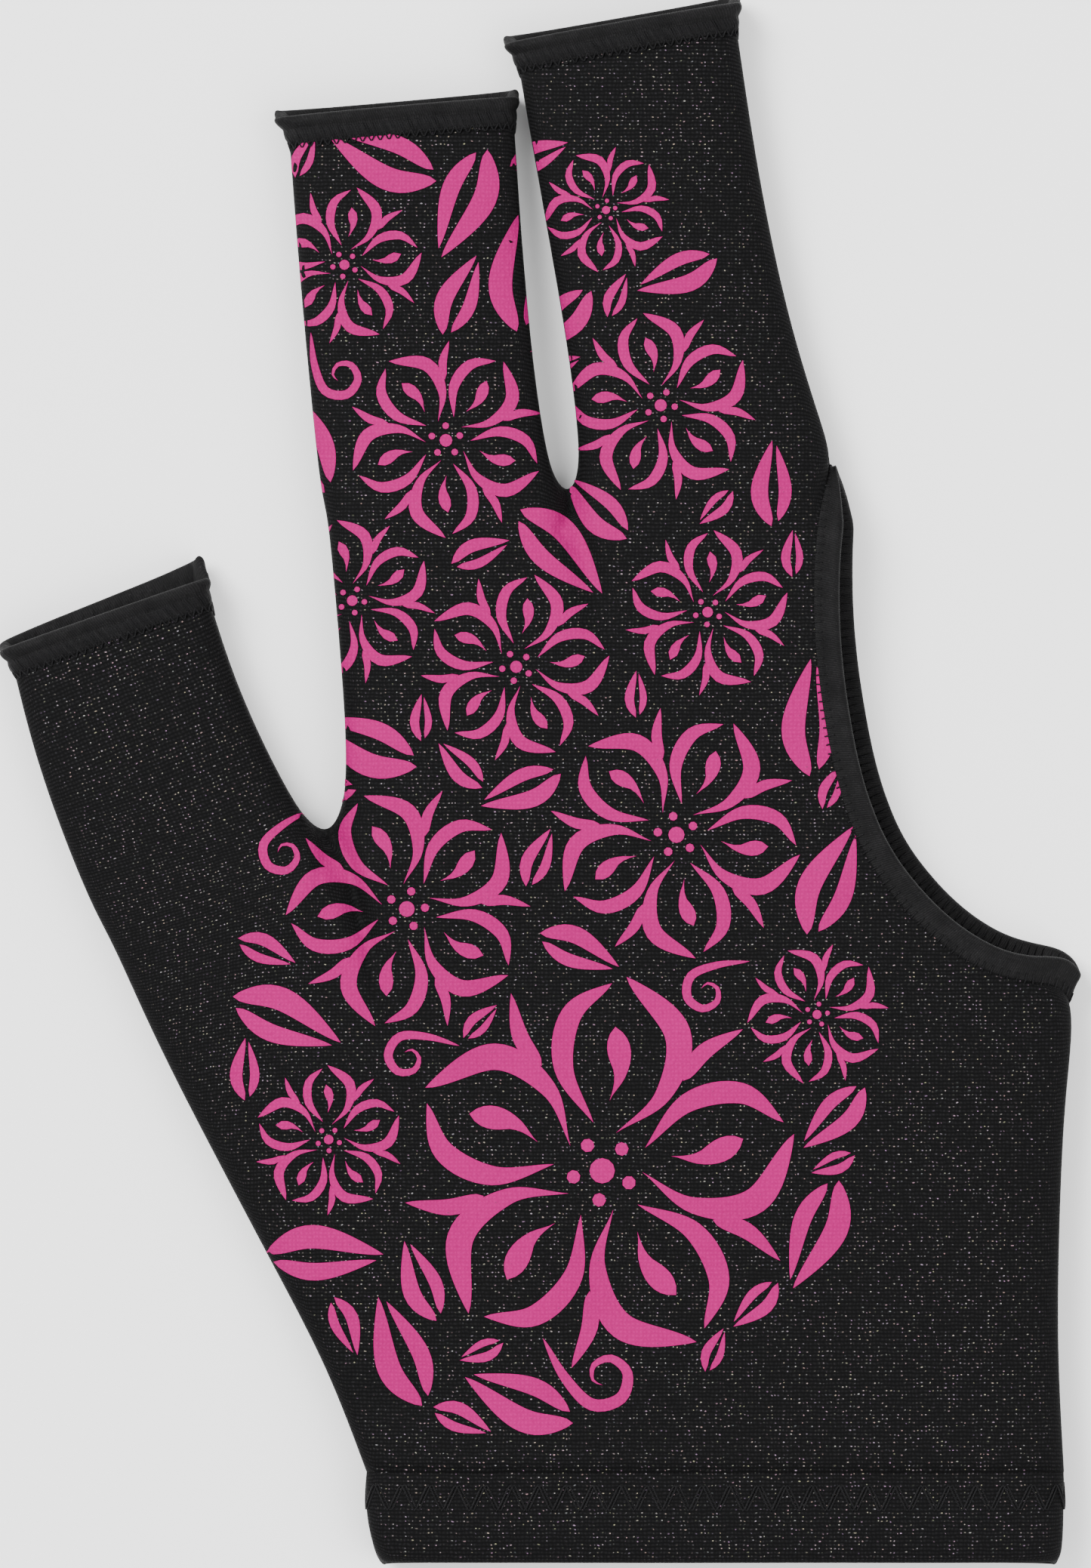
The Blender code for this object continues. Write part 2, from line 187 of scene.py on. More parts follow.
def blend_colours(tree, share, first, second):
    """A mix of two colours, each a socket or a plain colour."""
    made = add_node(tree, "ShaderNodeMix", data_type="RGBA")
    if isinstance(share, float):
        made.inputs[0].default_value = share
    else:
        tree.links.new(share, made.inputs[0])
    for socket, value in ((made.inputs[6], first), (made.inputs[7], second)):
        if isinstance(value, tuple):
            socket.default_value = (*value, 1.0)
        else:
            tree.links.new(value, socket)
    return made.outputs[2]


def between(tree, value, low, high):
    """The value stretched so that low is 0 and high is 1, and cut off past them."""
    made = add_node(tree, "ShaderNodeMapRange", in_1=low, in_2=high)
    tree.links.new(value, made.inputs[0])
    return made.outputs[0]


def raise_surface(tree, shader, height, strength, distance):
    """Make the surface look as high as a value says."""
    bump = add_node(tree, "ShaderNodeBump")
    bump.inputs["Strength"].default_value = strength
    bump.inputs["Distance"].default_value = distance
    tree.links.new(height, bump.inputs["Height"])
    tree.links.new(bump.outputs[0], shader.inputs["Normal"])


print("helpers:", [helper.__name__ for helper in (add_node, maths, blend_colours, between, raise_surface)])

# %% [markdown]
# A knit is a grid of loops half a millimetre apart. Modelling each loop would take millions of
# faces, so the material draws them: two waves make the grid, and noise pulls it a little askew,
# as real rows are never quite straight. The grid follows a map named knit that is laid on the
# cloth, so it turns with the thumb.

# %% The knit's grid
# In millimetres, as the map is
STITCH = 0.505
PULL = (0.8, 0.35, 0.0)


def knit_grid(tree):
    """Places, in loops, on the knit map: the vector, and the waves along and across."""
    uv = add_node(tree, "ShaderNodeUVMap", uv_map="knit")
    wobble = add_node(tree, "ShaderNodeTexNoise")
    wobble.inputs["Scale"].default_value = 0.9
    tree.links.new(uv.outputs[0], wobble.inputs["Vector"])
    pulled = add_node(tree, "ShaderNodeVectorMath", operation="MULTIPLY_ADD", in_1=PULL)
    tree.links.new(wobble.outputs["Color"], pulled.inputs[0])
    tree.links.new(uv.outputs[0], pulled.inputs[2])
    scale = add_node(tree, "ShaderNodeVectorMath", operation="SCALE")
    scale.inputs["Scale"].default_value = 1.0 / STITCH
    tree.links.new(pulled.outputs[0], scale.inputs[0])
    parts = add_node(tree, "ShaderNodeSeparateXYZ")
    tree.links.new(scale.outputs[0], parts.inputs[0])
    waves = []
    for part in (parts.outputs[0], parts.outputs[1]):
        turn = maths(tree, "MULTIPLY", part, 2 * pi)
        wave = maths(tree, "COSINE", turn)
        waves.append(maths(tree, "MULTIPLY_ADD", wave, -0.5, 0.5))
    return uv.outputs[0], scale.outputs[0], waves


def loop_numbers(tree, places):
    """A random number for each loop."""
    cell = add_node(tree, "ShaderNodeVectorMath", operation="FLOOR")
    tree.links.new(places, cell.inputs[0])
    chance = add_node(tree, "ShaderNodeTexWhiteNoise", noise_dimensions="2D")
    tree.links.new(cell.outputs[0], chance.inputs[0])
    return chance.outputs["Value"], chance.outputs["Color"]


def slow_noise(tree, uv, scale, detail):
    """Cloudy noise over the cloth."""
    made = add_node(tree, "ShaderNodeTexNoise")
    made.inputs["Scale"].default_value = scale
    made.inputs["Detail"].default_value = detail
    tree.links.new(uv, made.inputs["Vector"])
    return made.outputs[0]


print("loops to the centimetre:", round(10 / STITCH))

# %% [markdown]
# A few loops catch the lamp and glint. Each glint is a painted highlight: a small light dot at a
# random place in its loop, painted into the colour by the material like the loops themselves. The
# cloth remembers where the painted glints may show.

# %% Glints
# Painted highlight: the light grey that a glinting loop's dot mixes into the base colour
PAINTED_GLINT = (0.130, 0.130, 0.136)
GLINT_TINT = 0.10
DOT_REACH = (0.21, 0.16)


def painted_glint_share(tree):
    """How much painted glint the cloth gets here: less on its sides and in its folds, as painted shade."""
    made = add_node(tree, "ShaderNodeAttribute", attribute_name="painted_glint_mask")
    return made.outputs["Fac"]


def glint_and_dry_dots(tree, places, tint):
    """A small dot in each loop, off its middle by chance."""
    part = add_node(tree, "ShaderNodeVectorMath", operation="FRACTION")
    tree.links.new(places, part.inputs[0])
    inside = add_node(tree, "ShaderNodeSeparateXYZ")
    tree.links.new(part.outputs[0], inside.inputs[0])
    chance = add_node(tree, "ShaderNodeSeparateColor")
    tree.links.new(tint, chance.inputs[0])
    gaps = []
    for axis, reach in enumerate(DOT_REACH):
        middle = maths(tree, "MULTIPLY_ADD", chance.outputs[axis], 0.36, 0.32)
        gap = maths(tree, "DIVIDE", maths(tree, "SUBTRACT", inside.outputs[axis], middle), reach)
        gaps.append(maths(tree, "MULTIPLY", gap, gap))
    return between(tree, maths(tree, "ADD", gaps[0], gaps[1]), 1.1, 0.3)


print("glint colour:", PAINTED_GLINT, "reach in loops:", DOT_REACH)

# %% [markdown]
# The cloth's material puts grid and painted glints together over near-black, with slow noise that
# makes it a little uneven and a bump that gives the loops a height. The palm's cloth gets fewer
# painted glints and a slightly darker grid.

# %% The knit
KNIT_DARK = (0.0011, 0.0011, 0.0012)
BACK_LIGHT = (0.0082, 0.0079, 0.0085)
PALM_LIGHT = (0.0078, 0.0077, 0.0082)
LOOP_HEIGHT = 0.12 * MM
LOOP_DEPTH = 0.45
BACK_GLINTS = 0.60
PALM_GLINTS = 0.45


def knit_material(name, light, glint_share):
    """Fine black knit with painted glints on a few loops."""
    material, tree, shader = new_material(
        name, Roughness=0.72, Specular_IOR_Level=0.05, Sheen_Weight=0.012, Sheen_Roughness=0.45)
    uv, places, waves = knit_grid(tree)
    loop = maths(tree, "MULTIPLY", waves[0], waves[1])
    number, tint = loop_numbers(tree, places)
    cloud = slow_noise(tree, uv, 0.11, 2.0)
    fuzz = slow_noise(tree, uv, 2.6, 3.0)
    shade = maths(tree, "MULTIPLY_ADD", loop, 0.55, maths(tree, "MULTIPLY", waves[1], 0.25))
    shade = maths(tree, "MULTIPLY", shade, maths(tree, "MULTIPLY_ADD", fuzz, 1.6, 0.1))
    shade = maths(tree, "MULTIPLY", shade, maths(tree, "MULTIPLY_ADD", number, 0.7, 0.65))
    base = blend_colours(tree, shade, KNIT_DARK, light)
    # Painted highlights: loops picked by chance get a light dot mixed into the base colour
    share = maths(tree, "MULTIPLY_ADD", cloud, 0.6 * glint_share, 0.7 * glint_share)
    above = maths(tree, "SUBTRACT", number, maths(tree, "SUBTRACT", 1.0, share))
    lucky = maths(tree, "DIVIDE", above, share)
    bright = maths(tree, "POWER", maths(tree, "MAXIMUM", lucky, 0.0), 3.0)
    glint = maths(tree, "MULTIPLY", bright, glint_and_dry_dots(tree, places, tint))
    glint = maths(tree, "MULTIPLY", glint, painted_glint_share(tree))
    glint_colour = blend_colours(tree, GLINT_TINT, PAINTED_GLINT, tint)
    colour = blend_colours(tree, glint, base, glint_colour)
    tree.links.new(colour, shader.inputs["Base Color"])
    height = maths(tree, "ADD", loop, maths(tree, "MULTIPLY", fuzz, 0.8))
    raise_surface(tree, shader, height, LOOP_DEPTH, LOOP_HEIGHT)
    return material


back_knit = knit_material("upper_knit_look", BACK_LIGHT, BACK_GLINTS)
palm_knit = knit_material("palm_knit_look", PALM_LIGHT, PALM_GLINTS)
print("cloths:", back_knit.name, palm_knit.name)

# %% [markdown]
# A hem is the same cloth folded over, so the fold hides the loops' faces and shows smoother,
# with fine ribs along it. Thread is spun, so it has a slanting twist. Both are near black too.

# %% Hem cloth and thread
HEM_DARK = (0.0012, 0.0012, 0.0013)
HEM_LIGHT = (0.0125, 0.0120, 0.0125)
THREAD_DARK = (0.0015, 0.0015, 0.0017)
THREAD_LIGHT = (0.0130, 0.0125, 0.0135)
SPECK = (0.020, 0.019, 0.020)
RIB_PITCH = 0.30
RIB_HEIGHT = 0.08 * MM
HEM_LEAN = 0.25
THREAD_LEAN = 1.2


def ribbed_material(name, dark, light, lean, roughness, sheen):
    """Smooth black cloth or thread with fine slanted ribs and some fluff."""
    material, tree, shader = new_material(
        name, Roughness=roughness, Specular_IOR_Level=0.06, Sheen_Weight=sheen, Sheen_Roughness=0.4)
    uv = add_node(tree, "ShaderNodeUVMap", uv_map="knit").outputs[0]
    parts = add_node(tree, "ShaderNodeSeparateXYZ")
    tree.links.new(uv, parts.inputs[0])
    fluff = slow_noise(tree, uv, 3.2, 4.0)
    patch = slow_noise(tree, uv, 0.35, 2.0)
    slant = maths(tree, "MULTIPLY_ADD", parts.outputs[1], lean, parts.outputs[0])
    slant = maths(tree, "MULTIPLY_ADD", fluff, 0.25, slant)
    wave = maths(tree, "COSINE", maths(tree, "MULTIPLY", slant, 2 * pi / RIB_PITCH))
    rib = maths(tree, "MULTIPLY_ADD", wave, 0.5, 0.5)
    shade = maths(tree, "MULTIPLY", maths(tree, "MULTIPLY_ADD", rib, 0.5, 0.3), fluff)
    shade = maths(tree, "MULTIPLY", shade, maths(tree, "MULTIPLY_ADD", patch, 2.2, -0.1))
    colour = blend_colours(tree, shade, dark, light)
    speck = between(tree, slow_noise(tree, uv, 5.0, 1.0), 0.69, 0.78)
    colour = blend_colours(tree, speck, colour, SPECK)
    tree.links.new(colour, shader.inputs["Base Color"])
    height = maths(tree, "ADD", rib, maths(tree, "MULTIPLY", fluff, 2.0))
    raise_surface(tree, shader, height, 0.35, RIB_HEIGHT)
    return material


hem_knit = ribbed_material("hem_look", HEM_DARK, HEM_LIGHT, HEM_LEAN, 0.62, 0.012)
thread = ribbed_material("thread_look", THREAD_DARK, THREAD_LIGHT, THREAD_LEAN, 0.5, 0.02)
print("materials:", hem_knit.name, thread.name)

# %% [markdown]
# The pattern. Four lines run the length of the hand: its thumb edge, the line that ends in the
# crotch of the thumb, the one that ends between the fingers, and the edge of the little finger,
# which from row 4 on follows the crescent cut-out. Each row of the table crosses them, as shares
# of the cuff's width and the hand's length, so it is short and can be read against the picture.

# %% Rows of the hand
HAND_ROWS = (
    # thumb_edge,      thumb_line,       finger_line,      little_edge
    ((-0.504, 0.000), (-0.200, 0.000), (0.111, 0.000), (0.498, 0.000)),
    ((-0.558, 0.105), (-0.263, 0.117), (0.073, 0.117), (0.488, 0.125)),
    ((-0.630, 0.202), (-0.327, 0.233), (0.036, 0.233), (0.491, 0.253)),
    ((-0.702, 0.300), (-0.388, 0.345), (0.001, 0.341), (0.499, 0.393)),
    ((-0.759, 0.378), (-0.444, 0.449), (-0.028, 0.433), (0.521, 0.500)),
    ((-0.806, 0.446), (-0.497, 0.545), (-0.057, 0.521), (0.452, 0.503)),
    ((-0.840, 0.500), (-0.537, 0.617), (-0.083, 0.601), (0.363, 0.515)),
    ((-0.869, 0.546), (-0.553, 0.648), (-0.104, 0.669), (0.250, 0.584)),
    (None, (-0.533, 0.694), (-0.126, 0.737), (0.183, 0.666)),
    (None, (-0.533, 0.757), (-0.149, 0.809), (0.151, 0.769)),
    (None, (-0.541, 0.837), (-0.175, 0.889), (0.134, 0.877)),
    (None, (-0.551, 0.921), (-0.201, 0.969), (0.142, 0.987)),
    (None, (-0.560, 0.985), (-0.211, 1.000), (0.171, 1.034)),
)
THUMB_CROTCH_ROW = 7
FINGER_CROTCH_ROW = 12
CUTOUT_ROW = 4
SEAM_HEIGHT = 4.2 * MM
GLOVE_HEIGHT = 9.0 * MM
SLEEVE_HEIGHT = 8.6 * MM
CLOTH = 1.2 * MM
SEAM_GAP = 0.2 * MM


def on_hand(point):
    """Turn a row's shares into a place on the table."""
    return Vector((point[0] * CUFF_WIDTH, point[1] * HAND_LENGTH, 0.0))


def toward_little(lean):
    """Unit vector across a sleeve that leans by this angle."""
    return Vector((cos(lean), sin(lean), 0.0))


def toward_tip(lean):
    """Unit vector along a sleeve that leans by this angle."""
    return Vector((-sin(lean), cos(lean), 0.0))


print("rows on the hand:", len(HAND_ROWS))

# %% [markdown]
# The sleeves go on from the crotches. The thumb's bows a little, and the two fingers share a
# narrow slot, so both take their inner edges from the slot's own width table. The palm's lip of
# the crescent stands out past the upper one's, as the picture shows.

# %% Sizes of the sleeves
THUMB_LENGTH = 35 * MM
THUMB_WIDTH = 27.2 * MM
INDEX_LENGTH = 48.5 * MM
INDEX_WIDTH = 29.5 * MM
MIDDLE_LENGTH = 55.5 * MM
MIDDLE_WIDTH = 28.4 * MM
SLOT_WIDTH = 4.5 * MM
SLOT_TIP_GAP = 1.0 * MM
CUTOUT_LAG = 2.1 * MM
SLOT_LEAN = radians(7.5)
THUMB_LEAN = radians(23.0)
TILTS = {"thumb": radians(19.3), "index": radians(5.0), "middle": radians(10.0)}
THUMB_ROWS = ((0.14, 0.030, 0.062), (0.42, 0.045, 0.072), (0.72, 0.040, 0.055), (1.00, 0.0, 0.0))
FINGER_ROWS = ((0.07, 1.02, 1.12), (0.32, 0.995, 1.02), (0.66, 0.995, 1.0), (1.00, 1.0, 1.02))
SLOT_ALONG = (0.00, 0.07, 0.26, 0.50, 0.78, 1.00)
SLOT_OPEN = (0.62, 0.80, 1.00, 0.92, 0.55, SLOT_TIP_GAP / SLOT_WIDTH)


def slot_side(distance, side):
    """Point on a side of the slot, -1 the index finger's and +1 the middle finger's."""
    half = np.interp(distance / INDEX_LENGTH, SLOT_ALONG, SLOT_OPEN) * SLOT_WIDTH / 2
    crotch = on_hand(HAND_ROWS[FINGER_CROTCH_ROW][2])
    return crotch + toward_tip(SLOT_LEAN) * distance + toward_little(SLOT_LEAN) * side * half


def lip_shift(row, layer):
    """How far the palm layer's lip of the cut-out stands out past the upper layer's."""
    if layer == "back" or not CUTOUT_ROW < row < FINGER_CROTCH_ROW:
        return Vector()
    run = (on_hand(HAND_ROWS[row + 1][3]) - on_hand(HAND_ROWS[row - 1][3])).normalized()
    share = (row - CUTOUT_ROW) / (FINGER_CROTCH_ROW - CUTOUT_ROW)
    return Vector((run.y, -run.x, 0.0)) * CUTOUT_LAG * sin(pi * share) ** 0.5


print("slot at its widest (mm):", SLOT_WIDTH / MM)

# %% [markdown]
# Now the rows of every strip can be written down, hand first and then sleeve. Each edge of a
# row also says what it is there: inside the cloth, a crotch, a seam, or the cut-out's free lip.

# %% Rows of the strips
def kind_at(row, crotch_row):
    """What a lengthwise line is at a row."""
    if row < crotch_row:
        return "inside"
    return "crotch" if row == crotch_row else "seam"


def glove_rows(layer):
    """For each strip, its rows as (left, right, left kind, right kind, height)."""
    strips = {"thumb": [], "index": [], "middle": []}
    for row, (thumb_edge, thumb_line, finger_line, little_edge) in enumerate(HAND_ROWS):
        left, middle = on_hand(thumb_line), on_hand(finger_line)
        right = on_hand(little_edge) + lip_shift(row, layer)
        thumb_kind, finger_kind = kind_at(row, THUMB_CROTCH_ROW), kind_at(row, FINGER_CROTCH_ROW)
        little_kind = "lip" if CUTOUT_ROW < row < FINGER_CROTCH_ROW else "seam"
        if thumb_edge:
            strips["thumb"].append((on_hand(thumb_edge), left, "seam", thumb_kind, GLOVE_HEIGHT))
        strips["index"].append((left, middle, thumb_kind, finger_kind, GLOVE_HEIGHT))
        strips["middle"].append((middle, right, finger_kind, little_kind, GLOVE_HEIGHT))
    root_left, root_right = strips["thumb"][-1][:2]
    mouth = (root_left + root_right) / 2 + toward_tip(THUMB_LEAN) * THUMB_LENGTH
    half_mouth = toward_little(TILTS["thumb"]) * THUMB_WIDTH / 2
    sideways = toward_little(THUMB_LEAN) * THUMB_WIDTH
    for along, left_bow, right_bow in THUMB_ROWS:
        left = root_left.lerp(mouth - half_mouth, along) - sideways * left_bow
        right = root_right.lerp(mouth + half_mouth, along) - sideways * right_bow
        strips["thumb"].append((left, right, "seam", "seam", SLEEVE_HEIGHT))
    for along, index_share, middle_share in FINGER_ROWS:
        right = slot_side(along * INDEX_LENGTH, -1)
        left = right - toward_little(TILTS["index"]) * INDEX_WIDTH * index_share
        strips["index"].append((left, right, "seam", "seam", SLEEVE_HEIGHT))
        left = slot_side(along * MIDDLE_LENGTH, 1)
        right = left + toward_little(TILTS["middle"]) * MIDDLE_WIDTH * middle_share
        strips["middle"].append((left, right, "seam", "seam", SLEEVE_HEIGHT))
    return strips


print({name: len(rows) for name, rows in glove_rows("back").items()})

# %% [markdown]
# Each row becomes seven points: from either edge one at the seam, one up the side and one on the
# shoulder, and one in the middle. The very edge is tucked in a little, as a sewn seam pulls the
# cloth into a groove. The dents are the places where the lying glove sinks: beside the thumb,
# and between the fingers.

# %% Points across a row
EDGE_STEPS = {"seam": 0.0, "crotch": 0.05, "inside": 0.07, "lip": 0.08}
QUARTER_STEP = 0.14
SHOULDER_RISE = 0.62
SHOULDER_DROP = 0.035
SEAM_TUCK = 0.4 * MM
DENTS = (
    # strip, row, line, depth as a share of the glove's height
    ("thumb", 6, 6, 0.26), ("thumb", 5, 6, 0.13), ("thumb", 4, 6, 0.06), ("thumb", 7, 5, 0.06),
    ("thumb", 6, 4, -0.03), ("index", 11, 6, 0.24), ("index", 10, 6, 0.08),
    ("middle", 11, 2, -0.03), ("middle", 10, 1, 0.07), ("thumb", 1, 2, 0.07),
    ("thumb", 0, 2, 0.05), ("middle", 5, 3, 0.04),
)
SHARED_LINES = {("thumb", 6): ("index", 0), ("index", 6): ("middle", 0)}


def line_height(kind, from_edge, layer, height):
    """Outer height of a lengthwise line, counted from its own edge."""
    flat = height if layer == "back" else 0.0
    if kind in ("inside", "lip"):
        return flat
    if from_edge == 0:
        return SEAM_HEIGHT + (SEAM_GAP if layer == "back" else -SEAM_GAP) / 2
    if from_edge == 1:
        return SEAM_HEIGHT + (flat - SEAM_HEIGHT) * SHOULDER_RISE
    return flat - (height * SHOULDER_DROP if layer == "back" else 0.0)


def row_points(row, layer):
    """Seven points of a row, from its left edge to its right edge."""
    left, right, left_kind, right_kind, height = row
    tuck = SEAM_TUCK / (right - left).length
    shares = (
        tuck if left_kind == "seam" else 0.0, EDGE_STEPS[left_kind], QUARTER_STEP, 0.5,
        1 - QUARTER_STEP, 1 - EDGE_STEPS[right_kind], 1 - (tuck if right_kind == "seam" else 0.0),
    )
    heights = [line_height(left_kind, line, layer, height) for line in (0, 1, 2)]
    heights.append(height if layer == "back" else 0.0)
    heights += [line_height(right_kind, line, layer, height) for line in (2, 1, 0)]
    points = [left.lerp(right, share) for share in shares]
    for point, height_here in zip(points, heights):
        point.z = height_here
    return points


def layer_points(layer):
    """All points of a layer, a list of rows for each strip."""
    points = {name: [row_points(row, layer) for row in rows] for name, rows in glove_rows(layer).items()}
    if layer == "back":
        for strip, row, line, depth in DENTS:
            places = [(strip, line)] + [SHARED_LINES[p] for p in [(strip, line)] if p in SHARED_LINES]
            for name, column in places:
                points[name][row][column].z -= depth * GLOVE_HEIGHT
    return points


print("points of the upper layer:", sum(7 * len(rows) for rows in layer_points("back").values()))

# %% [markdown]
# Catmull-Clark subdivision turns this coarse net into smooth cloth, just as the frame's solids
# were made, only finer. A cloth simulation could do this too, but it may move the outline away
# from the picture's, and a net is quicker to steer. Every point remembers its row, line and
# strip, so that the hems can later find the cloth's open edges by asking for them.

# %% Smooth the cloth
STRIPS = ("thumb", "index", "middle")
LEVELS = 3


def smooth_layer(layer):
    """A layer's fine outer surface as a mesh that remembers rows, lines and strips."""
    net = bmesh.new()
    marks = {key: net.verts.layers.float.new(key) for key in ("row", "line", "strip")}
    for strip, rows in layer_points(layer).items():
        grid = []
        for row, points in enumerate(rows):
            made = []
            for line, point in enumerate(points):
                vertex = net.verts.new(point + ORIGIN)
                vertex[marks["row"]] = row
                vertex[marks["line"]] = line
                vertex[marks["strip"]] = STRIPS.index(strip)
                made.append(vertex)
            grid.append(made)
        for low, high in zip(grid, grid[1:]):
            for corner in range(6):
                face = [low[corner], low[corner + 1], high[corner + 1], high[corner]]
                net.faces.new(face if layer == "back" else face[::-1])
    bmesh.ops.remove_doubles(net, verts=net.verts, dist=0.03 * MM)
    mesh = bpy.data.meshes.new(layer + "_net")
    net.to_mesh(mesh)
    net.free()
    rough = bpy.data.objects.new(layer + "_net", mesh)
    bpy.context.scene.collection.objects.link(rough)
    smooth = rough.modifiers.new("smooth", "SUBSURF")
    smooth.levels = LEVELS
    smooth.render_levels = LEVELS
    smooth.boundary_smooth = "PRESERVE_CORNERS"
    bpy.context.view_layer.update()
    fine = bpy.data.meshes.new_from_object(rough.evaluated_get(bpy.context.evaluated_depsgraph_get()))
    bpy.data.objects.remove(rough)
    return fine


fine = {layer: smooth_layer(layer) for layer in ("back", "palm")}
print({layer: len(mesh.polygons) for layer, mesh in fine.items()})

# %% [markdown]
# Folds and maps are worked out for thousands of points. A loop over them is slow in Blender, so
# three helpers move the points of a mesh to numpy arrays and back.

# %% Read and write points
def read_points(mesh):
    """The vertices of a mesh as an array."""
    flat = np.empty(len(mesh.vertices) * 3)
    mesh.vertices.foreach_get("co", flat)
    return flat.reshape(-1, 3)


def read_normals(mesh):
    """The vertex normals of a mesh as an array."""
    flat = np.empty(len(mesh.vertices) * 3)
    mesh.vertex_normals.foreach_get("vector", flat)
    return flat.reshape(-1, 3)


def write_points(mesh, points):
    """Move the vertices of a mesh."""
    mesh.vertices.foreach_set("co", points.ravel())
    mesh.update()


print("top of the smooth cloth (mm):", round(read_points(fine["back"])[:, 2].max() / MM, 2))

# %% [markdown]
# Folds show where the cloth has too much to do. A crease runs down from the thumb's crotch, with
# fine wrinkles beside it, and a small pit lies below the slot between the fingers. Each fold is
# a line on the table with a width and a depth, fading toward its end. The rest of the upper
# cloth gets a slow unevenness of under a tenth of a millimetre, and the palm's lies flat.

# %% Folds
FOLDS = (
    # way in mm on the table, half width in mm, depth in mm
    (((-25.6, -7.9), (-24.3, -10.5), (-23.4, -16.3), (-22.0, -22.0), (-21.0, -30.0)), 1.0, 0.75),
    (((-29.0, -8.2), (-30.4, -14.0), (-31.2, -21.0)), 1.7, -0.35),
    (((-27.6, -9.6), (-28.4, -12.0), (-28.3, -15.0)), 0.55, 0.22),
    (((-30.4, -11.2), (-32.2, -13.0), (-33.0, -15.6)), 0.6, 0.16),
    (((-29.6, -16.2), (-31.0, -18.4), (-31.0, -20.6)), 0.5, 0.15),
    (((-27.0, -5.4), (-30.2, -5.8), (-33.5, -4.6)), 0.7, 0.22),
    (((-19.8, -10.0), (-18.8, -14.0), (-17.0, -19.0)), 1.6, -0.22),
    (((3.8, 35.2), (3.2, 33.0), (2.2, 30.4)), 0.8, 0.65),
    (((2.0, 32.4), (3.6, 30.6), (6.4, 28.6)), 0.6, 0.30),
    (((5.6, 33.2), (7.2, 31.0), (8.2, 28.4)), 1.2, -0.28),
    (((0.6, 34.6), (-0.6, 32.2), (-1.6, 29.6)), 1.2, -0.20),
    (((-21.0, -79.0), (-15.0, -82.5)), 2.2, 0.30),
    (((44.0, -23.0), (38.5, -12.0), (34.0, -2.0)), 2.6, -0.16),
)
UNEVEN_PITCH = 95.0
UNEVEN = 0.07 * MM
UNEVEN_SINK = 0.05 * MM


def distance_to_way(flat, way):
    """For every point, its distance to a line of points, and how far along that is."""
    corners = np.array(way) * MM
    steps = np.diff(corners, axis=0)
    lengths = np.linalg.norm(steps, axis=1)
    starts = np.concatenate([[0.0], np.cumsum(lengths)])
    best = np.full(len(flat), 1.0)
    share = np.zeros(len(flat))
    for corner, step, length, start in zip(corners, steps, lengths, starts):
        along = np.clip(((flat - corner) @ step) / length ** 2, 0.0, 1.0)
        gap = np.linalg.norm(flat - corner - along[:, None] * step, axis=1)
        nearer = gap < best
        best = np.where(nearer, gap, best)
        share = np.where(nearer, (start + along * length) / starts[-1], share)
    return best, share


def fold_cloth(mesh):
    """Press the folds and the unevenness into the upper cloth."""
    points = read_points(mesh)
    normals = read_normals(mesh)
    # 0 on the sides, 1 on top
    upward = np.clip(normals[:, 2] * 1.6 - 0.3, 0.0, 1.0)
    for way, half_width, depth in FOLDS:
        gap, share = distance_to_way(points[:, :2], way)
        fade = np.clip((1.0 - share) * 1.8, 0.0, 1.0)
        points[:, 2] -= depth * MM * np.exp(-(gap / (half_width * MM)) ** 2) * fade * upward
    uneven = np.array([noise.noise(Vector((x, y, 0.0)) * UNEVEN_PITCH) for x, y, _ in points])
    points[:, 2] -= (uneven * UNEVEN + UNEVEN_SINK) * upward
    write_points(mesh, points)


fold_cloth(fine["back"])
print("top of the folded cloth (mm):", round(read_points(fine["back"])[:, 2].max() / MM, 2))

# %% [markdown]
# The knit's map must unroll the sides, or the loops would smear down them. Points on a side are
# therefore moved outward on the map by how far they have dropped. Round the thumb's crotch the
# map turns by 22 degrees, bit by bit, as the cloth itself is pulled round there. The cloth also
# remembers where painted glints may show: on its sides and in the bottoms of its folds they fade,
# as painted shade.

# %% Helpers for the map
THUMB_TURN = radians(22.0)
TURN_FROM = radians(270.0)
TURN_OVER = radians(110.0)
SLEEVE_GAP = radians(100.0)
CROTCH = np.array((on_hand(HAND_ROWS[THUMB_CROTCH_ROW][1]) + ORIGIN)[:2])


def read_mark(mesh, key):
    """A remembered number of every vertex."""
    values = np.empty(len(mesh.vertices))
    mesh.attributes[key].data.foreach_get("value", values)
    return values


def set_map(mesh, places):
    """Store one place on the knit's map, in millimetres, for every vertex."""
    layer = mesh.uv_layers.new(name="knit")
    corners = np.empty(len(mesh.loops), dtype=np.int64)
    mesh.loops.foreach_get("vertex_index", corners)
    layer.data.foreach_set("uv", (places[corners] / MM).ravel())


def set_painted_glint_mask(mesh, share):
    """Store how much painted glint the cloth gets at every vertex."""
    mark = mesh.attributes.new("painted_glint_mask", "FLOAT", "POINT")
    mark.data.foreach_set("value", np.clip(share, 0.0, 1.0))


print("crotch of the thumb (mm):", (CROTCH / MM).round(1))

# %% [markdown]
# The map itself is a sum on the arrays: unroll, then turn about the thumb's crotch by an angle
# that grows smoothly round it.

